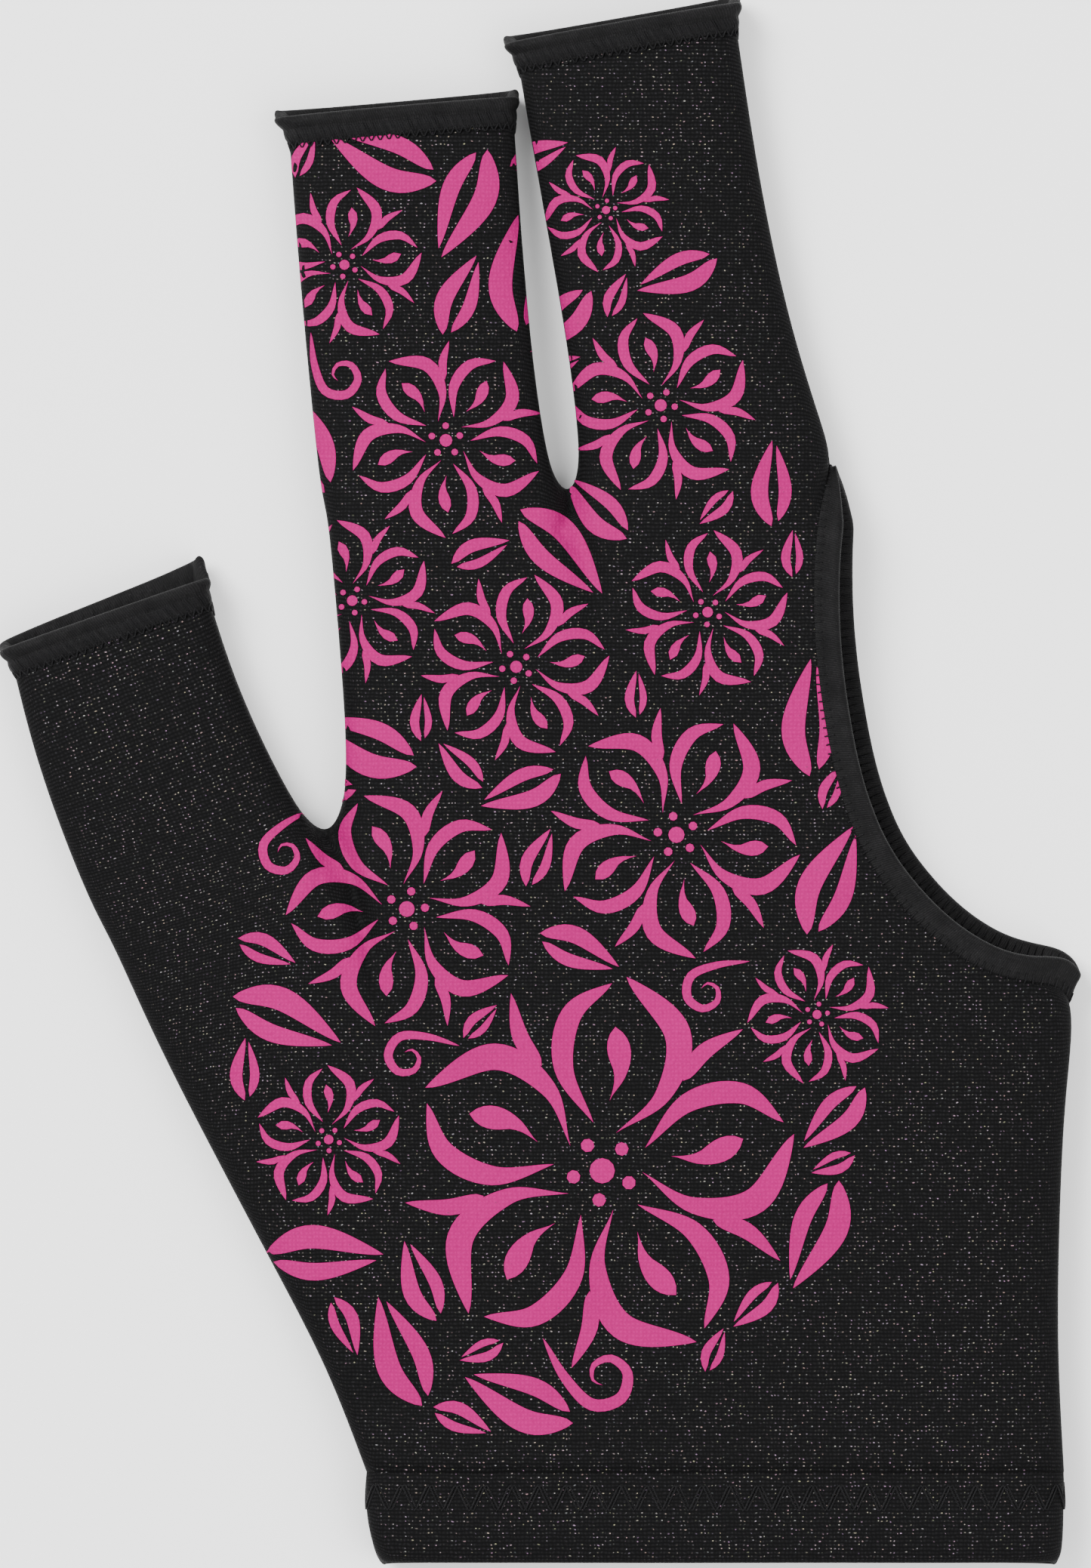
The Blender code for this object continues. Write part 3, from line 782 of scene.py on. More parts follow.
# %% Lay the map on both cloths
def map_cloth(mesh):
    """The knit's map, and where painted glints show, of cloth lying flat with its sides turned down."""
    points = read_points(mesh)
    normals = read_normals(mesh)
    flat_height = np.where(normals[:, 2] > 0, TOP, 0.0)
    drop = np.abs(flat_height - points[:, 2])
    outward = normals[:, :2].copy()
    size = np.linalg.norm(outward, axis=1)
    outward /= np.maximum(size, 1e-6)[:, None]
    steep = np.clip((size - 0.35) / 0.4, 0.0, 1.0)
    places = points[:, :2] + outward * (drop * steep)[:, None]
    about = places - CROTCH
    around = np.arctan2(about[:, 1], about[:, 0]) % (2 * pi)
    share = np.clip((TURN_FROM - around) / TURN_OVER, 0.0, 1.0)
    share = np.where(around < SLEEVE_GAP, 0.0, share * share * (3 - 2 * share))
    turn = -THUMB_TURN * share
    turned = np.column_stack([
        about[:, 0] * np.cos(turn) - about[:, 1] * np.sin(turn),
        about[:, 0] * np.sin(turn) + about[:, 1] * np.cos(turn),
    ])
    set_map(mesh, turned + CROTCH)
    # Painted shade: the painted glints fade out where the cloth turns down its sides
    return 1.0 - np.clip((size - 0.10) / 0.35, 0.0, 1.0)


def paint_shade_in_folds(points, painted_glint_mask):
    """Paint shade into the folds' bottoms: the painted glints fade out there."""
    for way, half_width, depth in FOLDS:
        if depth > 0.15:
            gap, share = distance_to_way(points[:, :2], way)
            fade = np.clip((1.0 - share) * 2.5, 0.0, 1.0)
            painted_glint_mask = painted_glint_mask * (1.0 - 0.95 * np.exp(-(gap / (half_width * 1.2 * MM)) ** 2) * fade)
    return painted_glint_mask


set_painted_glint_mask(fine["back"], paint_shade_in_folds(read_points(fine["back"]), map_cloth(fine["back"])))
set_painted_glint_mask(fine["palm"], map_cloth(fine["palm"]))
print("maps:", [mesh.uv_layers[0].name for mesh in fine.values()])

# %% [markdown]
# The smooth surface is the outside of the cloth. Its thickness goes inward, so the hollow for
# the hand stays open. The two layers replace the frame's plain panels.

# %% The two cloths
def add_piece(name, mesh, material, slot, *nodes):
    """A finished piece that rides with the frame, instead of the nodes named."""
    mesh.polygons.foreach_set("use_smooth", [True] * len(mesh.polygons))
    mesh.materials.clear()
    mesh.materials.append(material)
    piece = bpy.data.objects.new(name, mesh)
    bpy.context.scene.collection.objects.link(piece)
    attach(piece, "root")
    if nodes:
        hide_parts(*nodes)
    return piece


def thicken(piece, thickness):
    """Give a piece its wall, inward."""
    wall = piece.modifiers.new("wall", "SOLIDIFY")
    wall.thickness = thickness
    wall.offset = -1.0
    wall.use_even_offset = True
    wall.thickness_clamp = 0.0


cloths = {
    "back": add_piece("back_cloth", fine["back"], back_knit, "back_knit", "back_panel"),
    "palm": add_piece("palm_cloth", fine["palm"], palm_knit, "palm_knit", "palm_panel"),
}
for cloth in cloths.values():
    thicken(cloth, CLOTH)
print("cloths:", [cloth.name for cloth in cloths.values()])

# %% [markdown]
# Every hem goes round an open edge of the cloth: over the upper layer, and back under the palm
# layer. The loop is read off the cloth's own boundary, then spaced evenly, so that a stitch has
# the same size everywhere. Each place on the loop knows which way the hem runs from it.

# %% Follow the open edges
def boundary(mesh):
    """Which vertices lie on the cloth's open edge."""
    net = bmesh.new()
    net.from_mesh(mesh)
    found = np.array([vertex.is_boundary for vertex in net.verts])
    net.free()
    return found


def open_edge(layer, strip, rows, key):
    """Points along part of a layer's open edge, with the rows they lie on."""
    mesh = fine[layer]
    row, line, band = (read_mark(mesh, name) for name in ("row", "line", "strip"))
    near = boundary(mesh) & (row >= rows[0] - 0.01) & (row <= rows[1] + 0.01)
    if strip is not None:
        near &= np.abs(band - STRIPS.index(strip)) < 0.01
    if key == "row":
        near &= line > 5.99
    points = read_points(mesh)[near]
    marks = {"row": row[near], "line": line[near] + 100 * band[near]}
    order = np.argsort(marks[key])
    return points[order], row[near][order]


def mouth_edges(strip):
    """The loop round a sleeve's mouth: upper layer to the right, palm layer back."""
    last = len(layer_points("back")[strip]) - 1
    upper, _ = open_edge("back", strip, (last, last), "line")
    lower, _ = open_edge("palm", strip, (last, last), "line")
    return upper, lower[::-1]


for strip in STRIPS:
    upper, lower = mouth_edges(strip)
    print(strip, len(upper), len(lower), "width (mm)", round(float(np.ptp(upper[:, 0])) / MM, 1))

# %% [markdown]
# The points of the boundary lie closer in some places than in others. Even samples keep the
# ribs and stitches alike all round, and a little averaging takes out the corners of the net.

# %% Space the loops evenly
def even_loop(points, runs, spacing):
    """Even samples round a closed loop, with the hem's run carried along."""
    closed = np.vstack([points, points[:1]])
    ways = np.vstack([runs, runs[:1]])
    lengths = np.concatenate([[0.0], np.cumsum(np.linalg.norm(np.diff(closed, axis=0), axis=1))])
    count = int(lengths[-1] / spacing)
    places = np.arange(count) * lengths[-1] / count
    sampled = np.column_stack([np.interp(places, lengths, closed[:, axis]) for axis in range(3)])
    carried = np.column_stack([np.interp(places, lengths, ways[:, axis]) for axis in range(3)])
    return sampled, carried, lengths[-1]


def soften(values, reach):
    """Each value of a closed loop averaged with its neighbours."""
    return sum(np.roll(values, shift, axis=0) for shift in range(-reach, reach + 1)) / (2 * reach + 1)


def hem_path(points, runs, spacing=0.25 * MM):
    """A hem's loop: places, runs and outward normals, and how long it is."""
    places, ways, length = even_loop(points, runs, spacing)
    places, ways = soften(places, 2), soften(ways, 4)
    tangents = np.roll(places, -1, axis=0) - np.roll(places, 1, axis=0)
    normals = np.cross(tangents, ways)
    normals /= np.linalg.norm(normals, axis=1)[:, None]
    if (normals * (places - places.mean(axis=0))).sum() < 0:
        normals = -normals
    normals = soften(normals, 3)
    normals /= np.linalg.norm(normals, axis=1)[:, None]
    return {"places": places, "runs": ways, "normals": normals, "length": length}


def on_hem(path, along, share, lift):
    """A point on a hem: along the loop in metres, a share of the run, and its height."""
    count = len(path["places"])
    at = (along / path["length"] * count) % count
    low = int(at) % count
    high = (low + 1) % count
    part = at - int(at)
    keys = ("places", "runs", "normals")
    place, run, normal = (path[key][low] * (1 - part) + path[key][high] * part for key in keys)
    return Vector(place + run * share + normal * lift)


print("hem helpers:", even_loop.__name__, soften.__name__, hem_path.__name__, on_hem.__name__)

# %% [markdown]
# The mouths of the sleeves are cut straight across. In the picture the palm side looks out a
# little past the upper side, and on the thumb more at one end than at the other. Its hem runs
# longer there.

# %% The loops of the mouths
MOUTH_RUN = 3.5 * MM
PEEPS = {"thumb": (0.7, 3.3), "index": (1.2, 1.2), "middle": (1.2, 1.2)}


def mouth_path(strip):
    """The loop of a mouth's hem. On the palm side it is longer, by the peeps at its two ends."""
    upper, lower = mouth_edges(strip)
    along = np.array(toward_tip(TILTS[strip]))
    left, right = PEEPS[strip]
    across = np.linspace(right, left, len(lower)) * MM
    upper_runs = np.tile(along * MOUTH_RUN, (len(upper), 1))
    lower_runs = along * (MOUTH_RUN + across)[:, None]
    return hem_path(np.vstack([upper, lower]), np.vstack([upper_runs, lower_runs]))


mouth_paths = {strip: mouth_path(strip) for strip in STRIPS}
print({strip: round(path["length"] / MM, 1) for strip, path in mouth_paths.items()}, "mm round")

# %% [markdown]
# In section a hem is a fold: it starts at the stitches, runs up the outside, rolls over at the
# free edge and comes back inside. A bevelled curve could do this, but a loft can also change
# its section on the way. Where a hem would sink into the table, it is pressed flat on it.

# %% Loft a hem
HEM_REST = 0.08 * MM


def rounded_section(section, times=2):
    """A closed section with its corners cut off, twice."""
    points = [Vector((share, lift * MM)) for share, lift in section]
    for _ in range(times):
        cut = []
        for this, following in zip(points, points[1:] + points[:1]):
            cut += [this.lerp(following, 0.25), this.lerp(following, 0.75)]
        points = cut
    return points


def loft_hem(name, path, section, shift, node, spread=None):
    """A closed hem lofted round its path. shift(shares, share, lift) says how far a ring's points
    move, and spread, if given, maps the hem like flat cloth."""
    count = len(path["places"])
    shares = np.arange(count) / count
    rings = []
    for share, lift in rounded_section(section):
        ring = path["places"] + path["runs"] * share + path["normals"] * lift
        rings.append(ring + shift(shares, share, lift))
    points = np.vstack(rings)
    points[:, 2] = np.maximum(points[:, 2], HEM_REST)
    total = len(rings)
    index = np.arange(count)
    faces = []
    for ring in range(total):
        this, following = ring * count, (ring + 1) % total * count
        faces.append(np.column_stack([
            this + index, this + (index + 1) % count, following + (index + 1) % count, following + index,
        ]))
    mesh = bpy.data.meshes.new(name)
    mesh.from_pydata(points.tolist(), [], np.vstack(faces).tolist())
    net = bmesh.new()
    net.from_mesh(mesh)
    if net.calc_volume(signed=True) < 0:
        bmesh.ops.reverse_faces(net, faces=net.faces)
    net.to_mesh(mesh)
    net.free()
    if spread:
        set_painted_glint_mask(mesh, spread(mesh))
    else:
        widths = [float(np.linalg.norm(b - a, axis=1).mean()) for a, b in zip(rings, rings[1:])]
        depths = np.concatenate([[0.0], np.cumsum(widths)])
        around = shares * path["length"]
        set_map(mesh, np.vstack([np.column_stack([around, np.full(count, deep)]) for deep in depths]))
    return add_piece(name, mesh, hem_knit, "hem_knit", node)


print("points of a rounded square:", len(rounded_section(((0, 0), (1, 0), (1, 1), (0, 1)))))

# %% [markdown]
# On a mouth the stitches are an overlock seam. Its slanting loops pull the lower half of the
# fold into small slanted bulges, and leave the roll above. The hem also flares at its corners.

# %% The mouth hems
MOUTH_SECTION = (
    # share of the run, height in mm
    (-0.10, 0.02), (0.02, 0.20), (0.14, 0.30), (0.28, 0.30), (0.42, 0.22), (0.50, 0.14),
    (0.60, 0.32), (0.74, 0.46), (0.88, 0.36), (0.97, 0.02), (1.00, -0.40), (0.95, -0.90),
    (0.80, -1.30), (0.40, -1.42), (-0.08, -1.40), (-0.12, -0.60),
)
STITCH_PITCH = 1.12 * MM
FLARES = {"thumb": (0.8, 0.9), "index": (1.7, 0.8), "middle": (1.3, 1.1)}


def mouth_shift(strip):
    """How a mouth's hem flares at its corners and bulges between its stitches."""
    path = mouth_paths[strip]
    outward = np.array(toward_little(TILTS[strip]))
    across = (path["places"] - path["places"].mean(axis=0)) @ outward
    across /= np.abs(across).max()
    left = np.clip((-across - 0.82) / 0.18, 0.0, 1.0) * FLARES[strip][0] * MM
    right = np.clip((across - 0.82) / 0.18, 0.0, 1.0) * FLARES[strip][1] * MM

    def shift(shares, share, lift):
        push = outward * ((right - left) * max(share, 0.0) ** 1.6)[:, None]
        window = exp(-((share - 0.24) / 0.22) ** 2) if lift > 0 else 0.0
        turns = shares * path["length"] / STITCH_PITCH + share * 1.1
        bulge = 0.16 * MM * window * (0.5 + 0.5 * np.cos(2 * pi * turns)) ** 0.7
        fluff = 0.05 * MM * np.sin(shares * 2 * pi * 61 + share * 9) * np.sin(shares * 2 * pi * 23)
        return push + path["normals"] * (bulge - 0.05 * MM * window + fluff)[:, None]

    return shift


mouth_hems = {}
for strip in STRIPS:
    path, shift = mouth_paths[strip], mouth_shift(strip)
    mouth_hems[strip] = loft_hem(strip + "_mouth_hem", path, MOUTH_SECTION, shift, strip + "_hem")
print({strip: len(hem.data.polygons) for strip, hem in mouth_hems.items()}, "faces")

# %% [markdown]
# The cuff is the same fold, only deep. It bellies a little at the sides and is drawn in at its
# edge. Its cloth keeps the knit's look, because it is wide enough to show it.

# %% The cuff
CUFF_RUN = 11.6 * MM
CUFF_PEEP = 0.7 * MM
CUFF_SECTION = (
    # share of the run, height in mm
    (-0.06, -0.30), (-0.01, -0.02), (0.05, 0.00), (0.12, 0.05), (0.20, 0.00), (0.32, 0.02),
    (0.45, 0.08), (0.70, 0.06), (0.88, -0.06), (0.97, -0.40), (1.00, -0.85), (0.97, -1.35),
    (0.88, -1.60), (0.50, -1.65), (-0.02, -1.55), (-0.06, -0.90),
)
upper, _ = open_edge("back", None, (0, 0), "line")
lower, _ = open_edge("palm", None, (0, 0), "line")
cuff_runs = np.vstack([
    np.tile((0.0, -CUFF_RUN, 0.0), (len(upper), 1)),
    np.tile((0.0, -CUFF_RUN - CUFF_PEEP, 0.0), (len(lower), 1)),
])
cuff_path = hem_path(np.vstack([upper, lower[::-1]]), cuff_runs)


def cuff_shift(shares, share, lift):
    """The cuff's belly at the sides, its cut-in lower corner, and a slow wave in its fold."""
    side = (cuff_path["places"][:, 0] - ORIGIN.x) / (CUFF_WIDTH / 2)
    near_thumb = np.clip((-side - 0.80) / 0.2, 0.0, 1.0)
    near_little = np.clip((side - 0.80) / 0.2, 0.0, 1.0)
    share = max(0.0, min(1.0, share))
    push = near_thumb * (1.5 * share ** 1.5 - 0.30 * sin(pi * share)) * MM
    push -= near_little * 0.2 * share * MM
    wave = 0.10 * MM * np.sin(shares * 2 * pi * 5 + 1.0) * share
    still = np.zeros_like(push)
    return np.column_stack([push, still, still]) + cuff_path["normals"] * wave[:, None]


cuff = loft_hem("cuff_fold", cuff_path, CUFF_SECTION, cuff_shift, "cuff_hem", spread=map_cloth)
cuff.data.materials[0] = back_knit
print("cuff round (mm):", round(cuff_path["length"] / MM, 1))

# %% [markdown]
# The crescent's loop is like a wide, flat mouth: over the upper lip from the wrist end to the
# finger end, and back along the palm's lip. The hem stands straight out from the lip, and turns
# round at the two ends, where the layers meet in the side seams.

# %% The loop of the cut-out
LIP_RUNS = {"back": 3.2 * MM, "palm": 3.6 * MM}
WRIST_END_RUN = 4.2 * MM
WRIST_END_TURN = radians(-20.0)
FINGER_END_RUN = 0.9 * MM
FINGER_END_TURN = radians(-20.0)


def lip_run_table(layer):
    """The hem's run at each row of the crescent."""
    rows = glove_rows(layer)["middle"]
    table = []
    for row in range(CUTOUT_ROW, FINGER_CROTCH_ROW + 1):
        before = rows[max(row - 1, CUTOUT_ROW)][1]
        after = rows[min(row + 1, FINGER_CROTCH_ROW)][1]
        run = after - before
        table.append(Vector((run.y, -run.x, 0.0)).normalized() * LIP_RUNS[layer])
    table[0] = toward_tip(WRIST_END_TURN) * WRIST_END_RUN
    table[-1] = toward_little(FINGER_END_TURN) * FINGER_END_RUN
    return np.array(table)


def lip_edge(layer):
    """A layer's lip as points and runs."""
    points, rows = open_edge(layer, "middle", (CUTOUT_ROW, FINGER_CROTCH_ROW), "row")
    table = lip_run_table(layer)
    steps = np.arange(CUTOUT_ROW, FINGER_CROTCH_ROW + 1)
    return points, np.column_stack([np.interp(rows, steps, table[:, axis]) for axis in range(3)])


print("rows along the lip:", len(lip_run_table("back")))

# %% [markdown]
# Its section is a rounder fold than a mouth's, with a soft roll at the free edge. A little
# unevenness keeps the long curve from looking machined.

# %% The cut-out's hem
LIP_SECTION = (
    # share of the run, height in mm
    (-0.06, 0.02), (0.04, 0.16), (0.18, 0.20), (0.40, 0.16), (0.60, 0.22), (0.78, 0.40),
    (0.90, 0.34), (0.98, 0.02), (1.00, -0.40), (0.96, -0.90), (0.84, -1.25), (0.40, -1.40),
    (-0.06, -1.40), (-0.08, -0.60),
)
upper, upper_runs = lip_edge("back")
lower, lower_runs = lip_edge("palm")
lip_path = hem_path(np.vstack([upper, lower[::-1]]), np.vstack([upper_runs, lower_runs[::-1]]))


def lip_shift(shares, share, lift):
    """Small unevenness of the crescent's hem."""
    wave = 0.07 * MM * np.sin(shares * 2 * pi * 47 + share * 3) * np.sin(shares * 2 * pi * 19)
    return lip_path["normals"] * (wave * max(0.0, share))[:, None]


loft_hem("crescent_hem", lip_path, LIP_SECTION, lip_shift, "cutout_hem")
print("crescent round (mm):", round(lip_path["length"] / MM, 1))

# %% [markdown]
# Thread is what holds all this, so it is modelled, not painted. A tube is swept along each
# stitch, and all the tubes of a seam are joined, since a thousand small objects would be slow.

# %% Thread
THREAD_RADIUS = 0.11 * MM
MAP_STEP = 0.01 * MM


def tube(way, radius, sides=5):
    """Points and faces of a closed tube along a way."""
    way = [Vector(point) for point in way]
    points, faces = [], []
    side = Vector((0.31, 0.52, 0.79))
    for place, point in enumerate(way):
        forward = (way[min(place + 1, len(way) - 1)] - way[max(place - 1, 0)]).normalized()
        side = (side - forward * side.dot(forward)).normalized()
        other = forward.cross(side)
        for corner in range(sides):
            turn = 2 * pi * corner / sides
            points.append(point + (side * cos(turn) + other * sin(turn)) * radius)
            points[-1].z = max(points[-1].z, 0.0)
    for ring in range(len(way) - 1):
        for corner in range(sides):
            following = (corner + 1) % sides
            low, high = ring * sides, (ring + 1) * sides
            faces.append((low + corner, low + following, high + following, high + corner))
    faces.append(tuple(range(sides))[::-1])
    faces.append(tuple((len(way) - 1) * sides + corner for corner in range(sides)))
    return points, faces


def sew(name, ways, radius):
    """Join the tubes of many stitches into one piece. Each starts elsewhere on its map."""
    points, faces, places = [], [], []
    for way in ways:
        tube_points, tube_faces = tube(way, radius)
        start = len(points)
        points += tube_points
        faces += [tuple(start + corner for corner in face) for face in tube_faces]
        step = (Vector(way[1]) - Vector(way[0])).length
        sides = len(tube_points) // len(way)
        for order in range(len(tube_points)):
            places.append((start * MAP_STEP + order // sides * step, order % sides * radius))
    mesh = bpy.data.meshes.new(name)
    mesh.from_pydata([tuple(point) for point in points], [], faces)
    set_map(mesh, np.array(places))
    return add_piece(name, mesh, thread, "thread")


def way_on_hem(path, corners, steps=3):
    """A way over a hem through (along, share, lift) corners, with points between them."""
    way = []
    for first, second in zip(corners, corners[1:]):
        for step in range(steps):
            part = step / steps
            way.append(on_hem(path, *(a + (b - a) * part for a, b in zip(first, second))))
    way.append(on_hem(path, *corners[-1]))
    return way


print("sides of a thread:", tube.__defaults__[0])

# %% [markdown]
# An overlock seam zigzags between cloth and hem, with slanted loops over the bulges. It is what
# a machine sews to bind a raw edge, and it shows most on the mouths.

# %% Overlock the mouths
def overlock(strip):
    """The overlock seam of a mouth: a zigzag at its foot, and slanted loops over the bulges.
    Its corners are (along the loop, share of the run, lift)."""
    path = mouth_paths[strip]
    count = int(path["length"] / STITCH_PITCH)
    pitch = path["length"] / count
    ways = []
    for stitch in range(count):
        along = stitch * pitch
        ways.append(way_on_hem(path, (
            (along, 0.06, 0.26 * MM), (along + 0.36 * pitch, -0.20, 0.06 * MM),
            (along + 0.55 * pitch, -0.20, 0.06 * MM), (along + pitch, 0.06, 0.26 * MM),
        )))
        for shift in (0.0, 0.30, 0.62):
            foot = along + shift * pitch
            ways.append(way_on_hem(path, (
                (foot, 0.02, 0.16 * MM), (foot - 0.18 * pitch, 0.22, 0.36 * MM),
                (foot - 0.42 * pitch, 0.46, 0.24 * MM),
            )))
    return sew(strip + "_overlock", ways, THREAD_RADIUS)


overlocks = [overlock(strip) for strip in STRIPS]
print([len(piece.data.polygons) for piece in overlocks])

# %% [markdown]
# The crescent has short stitches square to its edge, outside at its foot and inside at its rim.
# The cuff has a wide zigzag that is sewn twice, since a zigzag stretches when a hand slips in.

# %% Stitches of the crescent and the cuff
def crescent_stitches():
    """Short stitches square to the crescent's edge, outside at its foot and inside at its rim."""
    count = int(lip_path["length"] / STITCH_PITCH)
    pitch = lip_path["length"] / count
    ways = []
    for stitch in range(count):
        along = stitch * pitch
        lean = 0.10 * MM * sin(stitch * 2.3)
        ways.append(way_on_hem(lip_path, (
            (along, -0.15, 0.05 * MM), (along + lean, 0.02, 0.20 * MM), (along + lean, 0.26, 0.24 * MM),
        )))
        ways.append(way_on_hem(lip_path, (
            (along + 0.5 * pitch, 0.42, -1.44 * MM), (along + 0.5 * pitch + lean, 0.72, -1.44 * MM),
            (along + 0.5 * pitch + lean, 0.93, -1.10 * MM),
        )))
    return sew("crescent_stitches", ways, THREAD_RADIUS)


ZIGZAG_PITCH = 3.45 * MM
ZIGZAG_FROM = 0.13
ZIGZAG_TO = 0.41
ZIGZAG_RADIUS = 0.14 * MM


def cuff_zigzag():
    """A zigzag of thread round the cuff, sewn twice, the second time a little behind."""
    count = int(cuff_path["length"] / ZIGZAG_PITCH)
    pitch = cuff_path["length"] / count
    middle, half = (ZIGZAG_FROM + ZIGZAG_TO) / 2, (ZIGZAG_TO - ZIGZAG_FROM) / 2
    ways = []
    for behind, lift in ((0.0, 0.10), (0.13, 0.04)):
        way = []
        for step in range(count * 12 + 1):
            turn = step / 12
            wave = max(-1.0, min(1.0, 1.15 * (1 - 4 * abs((turn - behind) % 1 - 0.5))))
            way.append(on_hem(cuff_path, turn * pitch, middle + half * wave, lift * MM))
        ways.append(way)
    return sew("cuff_zigzag", ways, ZIGZAG_RADIUS)


print("stitches:", len(crescent_stitches().data.polygons), len(cuff_zigzag().data.polygons))

# %% [markdown]
# The print is a layer of pink ink pressed on the finished cloth. It is drawn flat first, from
# brush strokes that swell and taper, as a stencil cutter would do it. A picture wrapped round
# the cloth would blur up close, while cut shapes stay sharp.

# %% Brush strokes
def smooth_way(corners, step):
    """Points along a smooth line through the corners, all about one step apart."""
    corners = [Vector(corner) for corner in corners]
    ends = [corners[0] * 2 - corners[1]] + corners + [corners[-1] * 2 - corners[-2]]
    way = []
    for before, start, end, after in zip(ends, ends[1:], ends[2:], ends[3:]):
        count = max(2, ceil((end - start).length / step))
        for part in (number / count for number in range(count)):
            way.append(0.5 * (
                start * 2 + (end - before) * part
                + (before * 2 - start * 5 + end * 4 - after) * part ** 2
                + (start * 3 - before - end * 3 + after) * part ** 3
            ))
    return way + [corners[-1]]


def brush(corners, thickness, swell=0.5, step=0.9):
    """A stroke that swells to its thickness at a share of its way, and tapers to both ends."""
    way = smooth_way(corners, step)
    left, right = [], []
    for place, point in enumerate(way):
        share = place / (len(way) - 1)
        bent = share ** (np.log(0.5) / np.log(swell))
        half = thickness / 2 * max(0.0, sin(pi * bent)) ** 0.8
        forward = (way[min(place + 1, len(way) - 1)] - way[max(place - 1, 0)]).normalized()
        out = Vector((-forward.y, forward.x)) * half
        left.append(point + out)
        if 0 < place < len(way) - 1:
            right.append(point - out)
    return left + right[::-1]


print("points of a stroke:", len(brush(((0, 0), (5, 2), (10, 0)), 2)))

# %% [markdown]
# The motifs are blossoms with five split petals, leaves in two halves and curls. Each is drawn
# once at size one, then scaled, turned and moved to its place.

# %% Blossoms, leaves and curls
def placed(outline, x, y, turn, size=1.0):
    """An outline scaled, turned and moved to its place."""
    return [Vector((
        x + size * (point.x * cos(turn) - point.y * sin(turn)),
        y + size * (point.x * sin(turn) + point.y * cos(turn)),
    )) for point in outline]


def blossom(x, y, size, turn):
    """A blossom with five petals, each of two strokes round a drop, and sepals between them."""
    step = 0.9 / size
    petal = (
        brush(((0.20, -0.05), (0.42, -0.27), (0.74, -0.31), (1.00, -0.02)), 0.135, 0.62, step),
        brush(((0.24, 0.07), (0.50, 0.25), (0.78, 0.24), (0.96, 0.05)), 0.115, 0.55, step),
        brush(((0.36, 0.0), (0.52, -0.04), (0.74, 0.01)), 0.12, 0.7, step),
    )
    sepal = brush(((0.62, 0.0), (0.80, 0.02), (1.02, -0.05)), 0.085, 0.4, step)
    shapes = []
    for number in range(5):
        angle = turn + 2 * pi * number / 5
        shapes += [placed(part, x, y, angle, size) for part in petal]
        shapes.append(placed(sepal, x, y, angle + pi / 5, size))
        bead = [Vector((0.15 + 0.035 * cos(a * pi / 4), 0.035 * sin(a * pi / 4))) for a in range(8)]
        shapes.append(placed(bead, x, y, angle + pi / 5, size))
    disc = [Vector((0.065 * cos(a * pi / 6), 0.065 * sin(a * pi / 6))) for a in range(12)]
    return shapes + [placed(disc, x, y, 0.0, size)]


def leaf(x, y, size, turn):
    """A leaf in two halves, with a bare midrib between them."""
    step = 0.9 / size
    return [
        placed(brush(((0.0, 0.03), (0.40, 0.17), (1.0, 0.02)), 0.20, 0.42, step), x, y, turn, size),
        placed(brush(((0.06, -0.05), (0.42, -0.13), (0.94, -0.03)), 0.15, 0.42, step), x, y, turn, size),
    ]


def curl(x, y, size, turn):
    """A tendril that winds up at its end."""
    corners = [(0.0, 0.0), (0.42, -0.12)]
    for number in range(7):
        angle = radians(-70 + 62 * number)
        radius = 0.30 - 0.036 * number
        corners.append((0.70 + radius * cos(angle), 0.16 + radius * sin(angle)))
    return [placed(brush(corners, 0.12, 0.45, 0.8 / size), x, y, turn, size)]


print("a blossom has", len(blossom(0, 0, 10, 0)), "strokes")

# %% [markdown]
# The blossoms are laid out by a table, so that they can be moved about like paper cut-outs. The
# print leaves the thumb and the little finger's side bare. A motif may hang over an edge, since
# a print made on flat cloth before sewing is cut off by the seams.

# %% Lay out the blossoms
BLOSSOMS = (
    # x and y in mm on the table, size in mm, turn in degrees
    (8.0, -50.0, 25.0, 12), (-17.0, -16.5, 15.5, 40), (17.5, -7.0, 16.0, 64), (-3.0, 14.5, 12.0, 8),
    (-24.0, 23.0, 10.5, 30), (21.5, 21.5, 10.5, 15), (-12.0, 43.5, 12.5, 55), (15.5, 48.0, 12.0, 30),
    (-25.0, 66.0, 10.0, 10), (8.5, 73.0, 8.0, 48), (-27.0, -46.0, 9.5, 20), (35.5, -30.0, 9.0, 44),
)
FIELD = (
    # y, left x and right x in mm: where the print may go
    (-84, -16, 2), (-74, -24, 26), (-58, -38, 40), (-34, -41, 44), (-10, -37, 42), (8, -30, 38),
    (34, -33, 33), (58, -35, 28), (74, -35, 20), (84, -30, 12),
)
strokes = []
for x, y, size, degrees in BLOSSOMS:
    strokes += blossom(x, y, size, radians(degrees))
print("strokes in the blossoms:", len(strokes))

# %% [markdown]
# Leaves and curls will fill the room between them. To know what room is left, a coarse chart of
# the cloth, in cells of half a millimetre, holds what is already taken.

# %% Chart what is taken
CELL = 0.5
MARGIN = 1.0
CHART_CORNER = np.array((-75.0, -105.0))
CHART_CELLS = (300, 420)
taken = np.zeros(CHART_CELLS, dtype=bool)


def cells(points):
    """The chart's cells that hold these points."""
    places = ((np.array(points) - CHART_CORNER) / CELL).astype(int)
    return places[:, 0], places[:, 1]


def take(points, reach):
    """Mark all cells within reach of the points."""
    steps = np.arange(-reach, reach + CELL, CELL)
    for across in steps:
        for up in steps:
            if hypot(across, up) <= reach:
                taken[cells(np.array(points) + (across, up))] = True


def in_field(points):
    """Whether the points all lie where the print may go."""
    y, left, right = np.array(FIELD, dtype=float).T
    points = np.array(points)
    across, up = points.T
    inside = (across > np.interp(up, y, left)) & (across < np.interp(up, y, right))
    return bool(inside.all() and points[:, 1].min() > y[0] and points[:, 1].max() < y[-1])


for x, y, size, _ in BLOSSOMS:
    take([(x, y)], size * 0.86)
for stroke in strokes:
    take([tuple(point) for point in stroke], MARGIN)

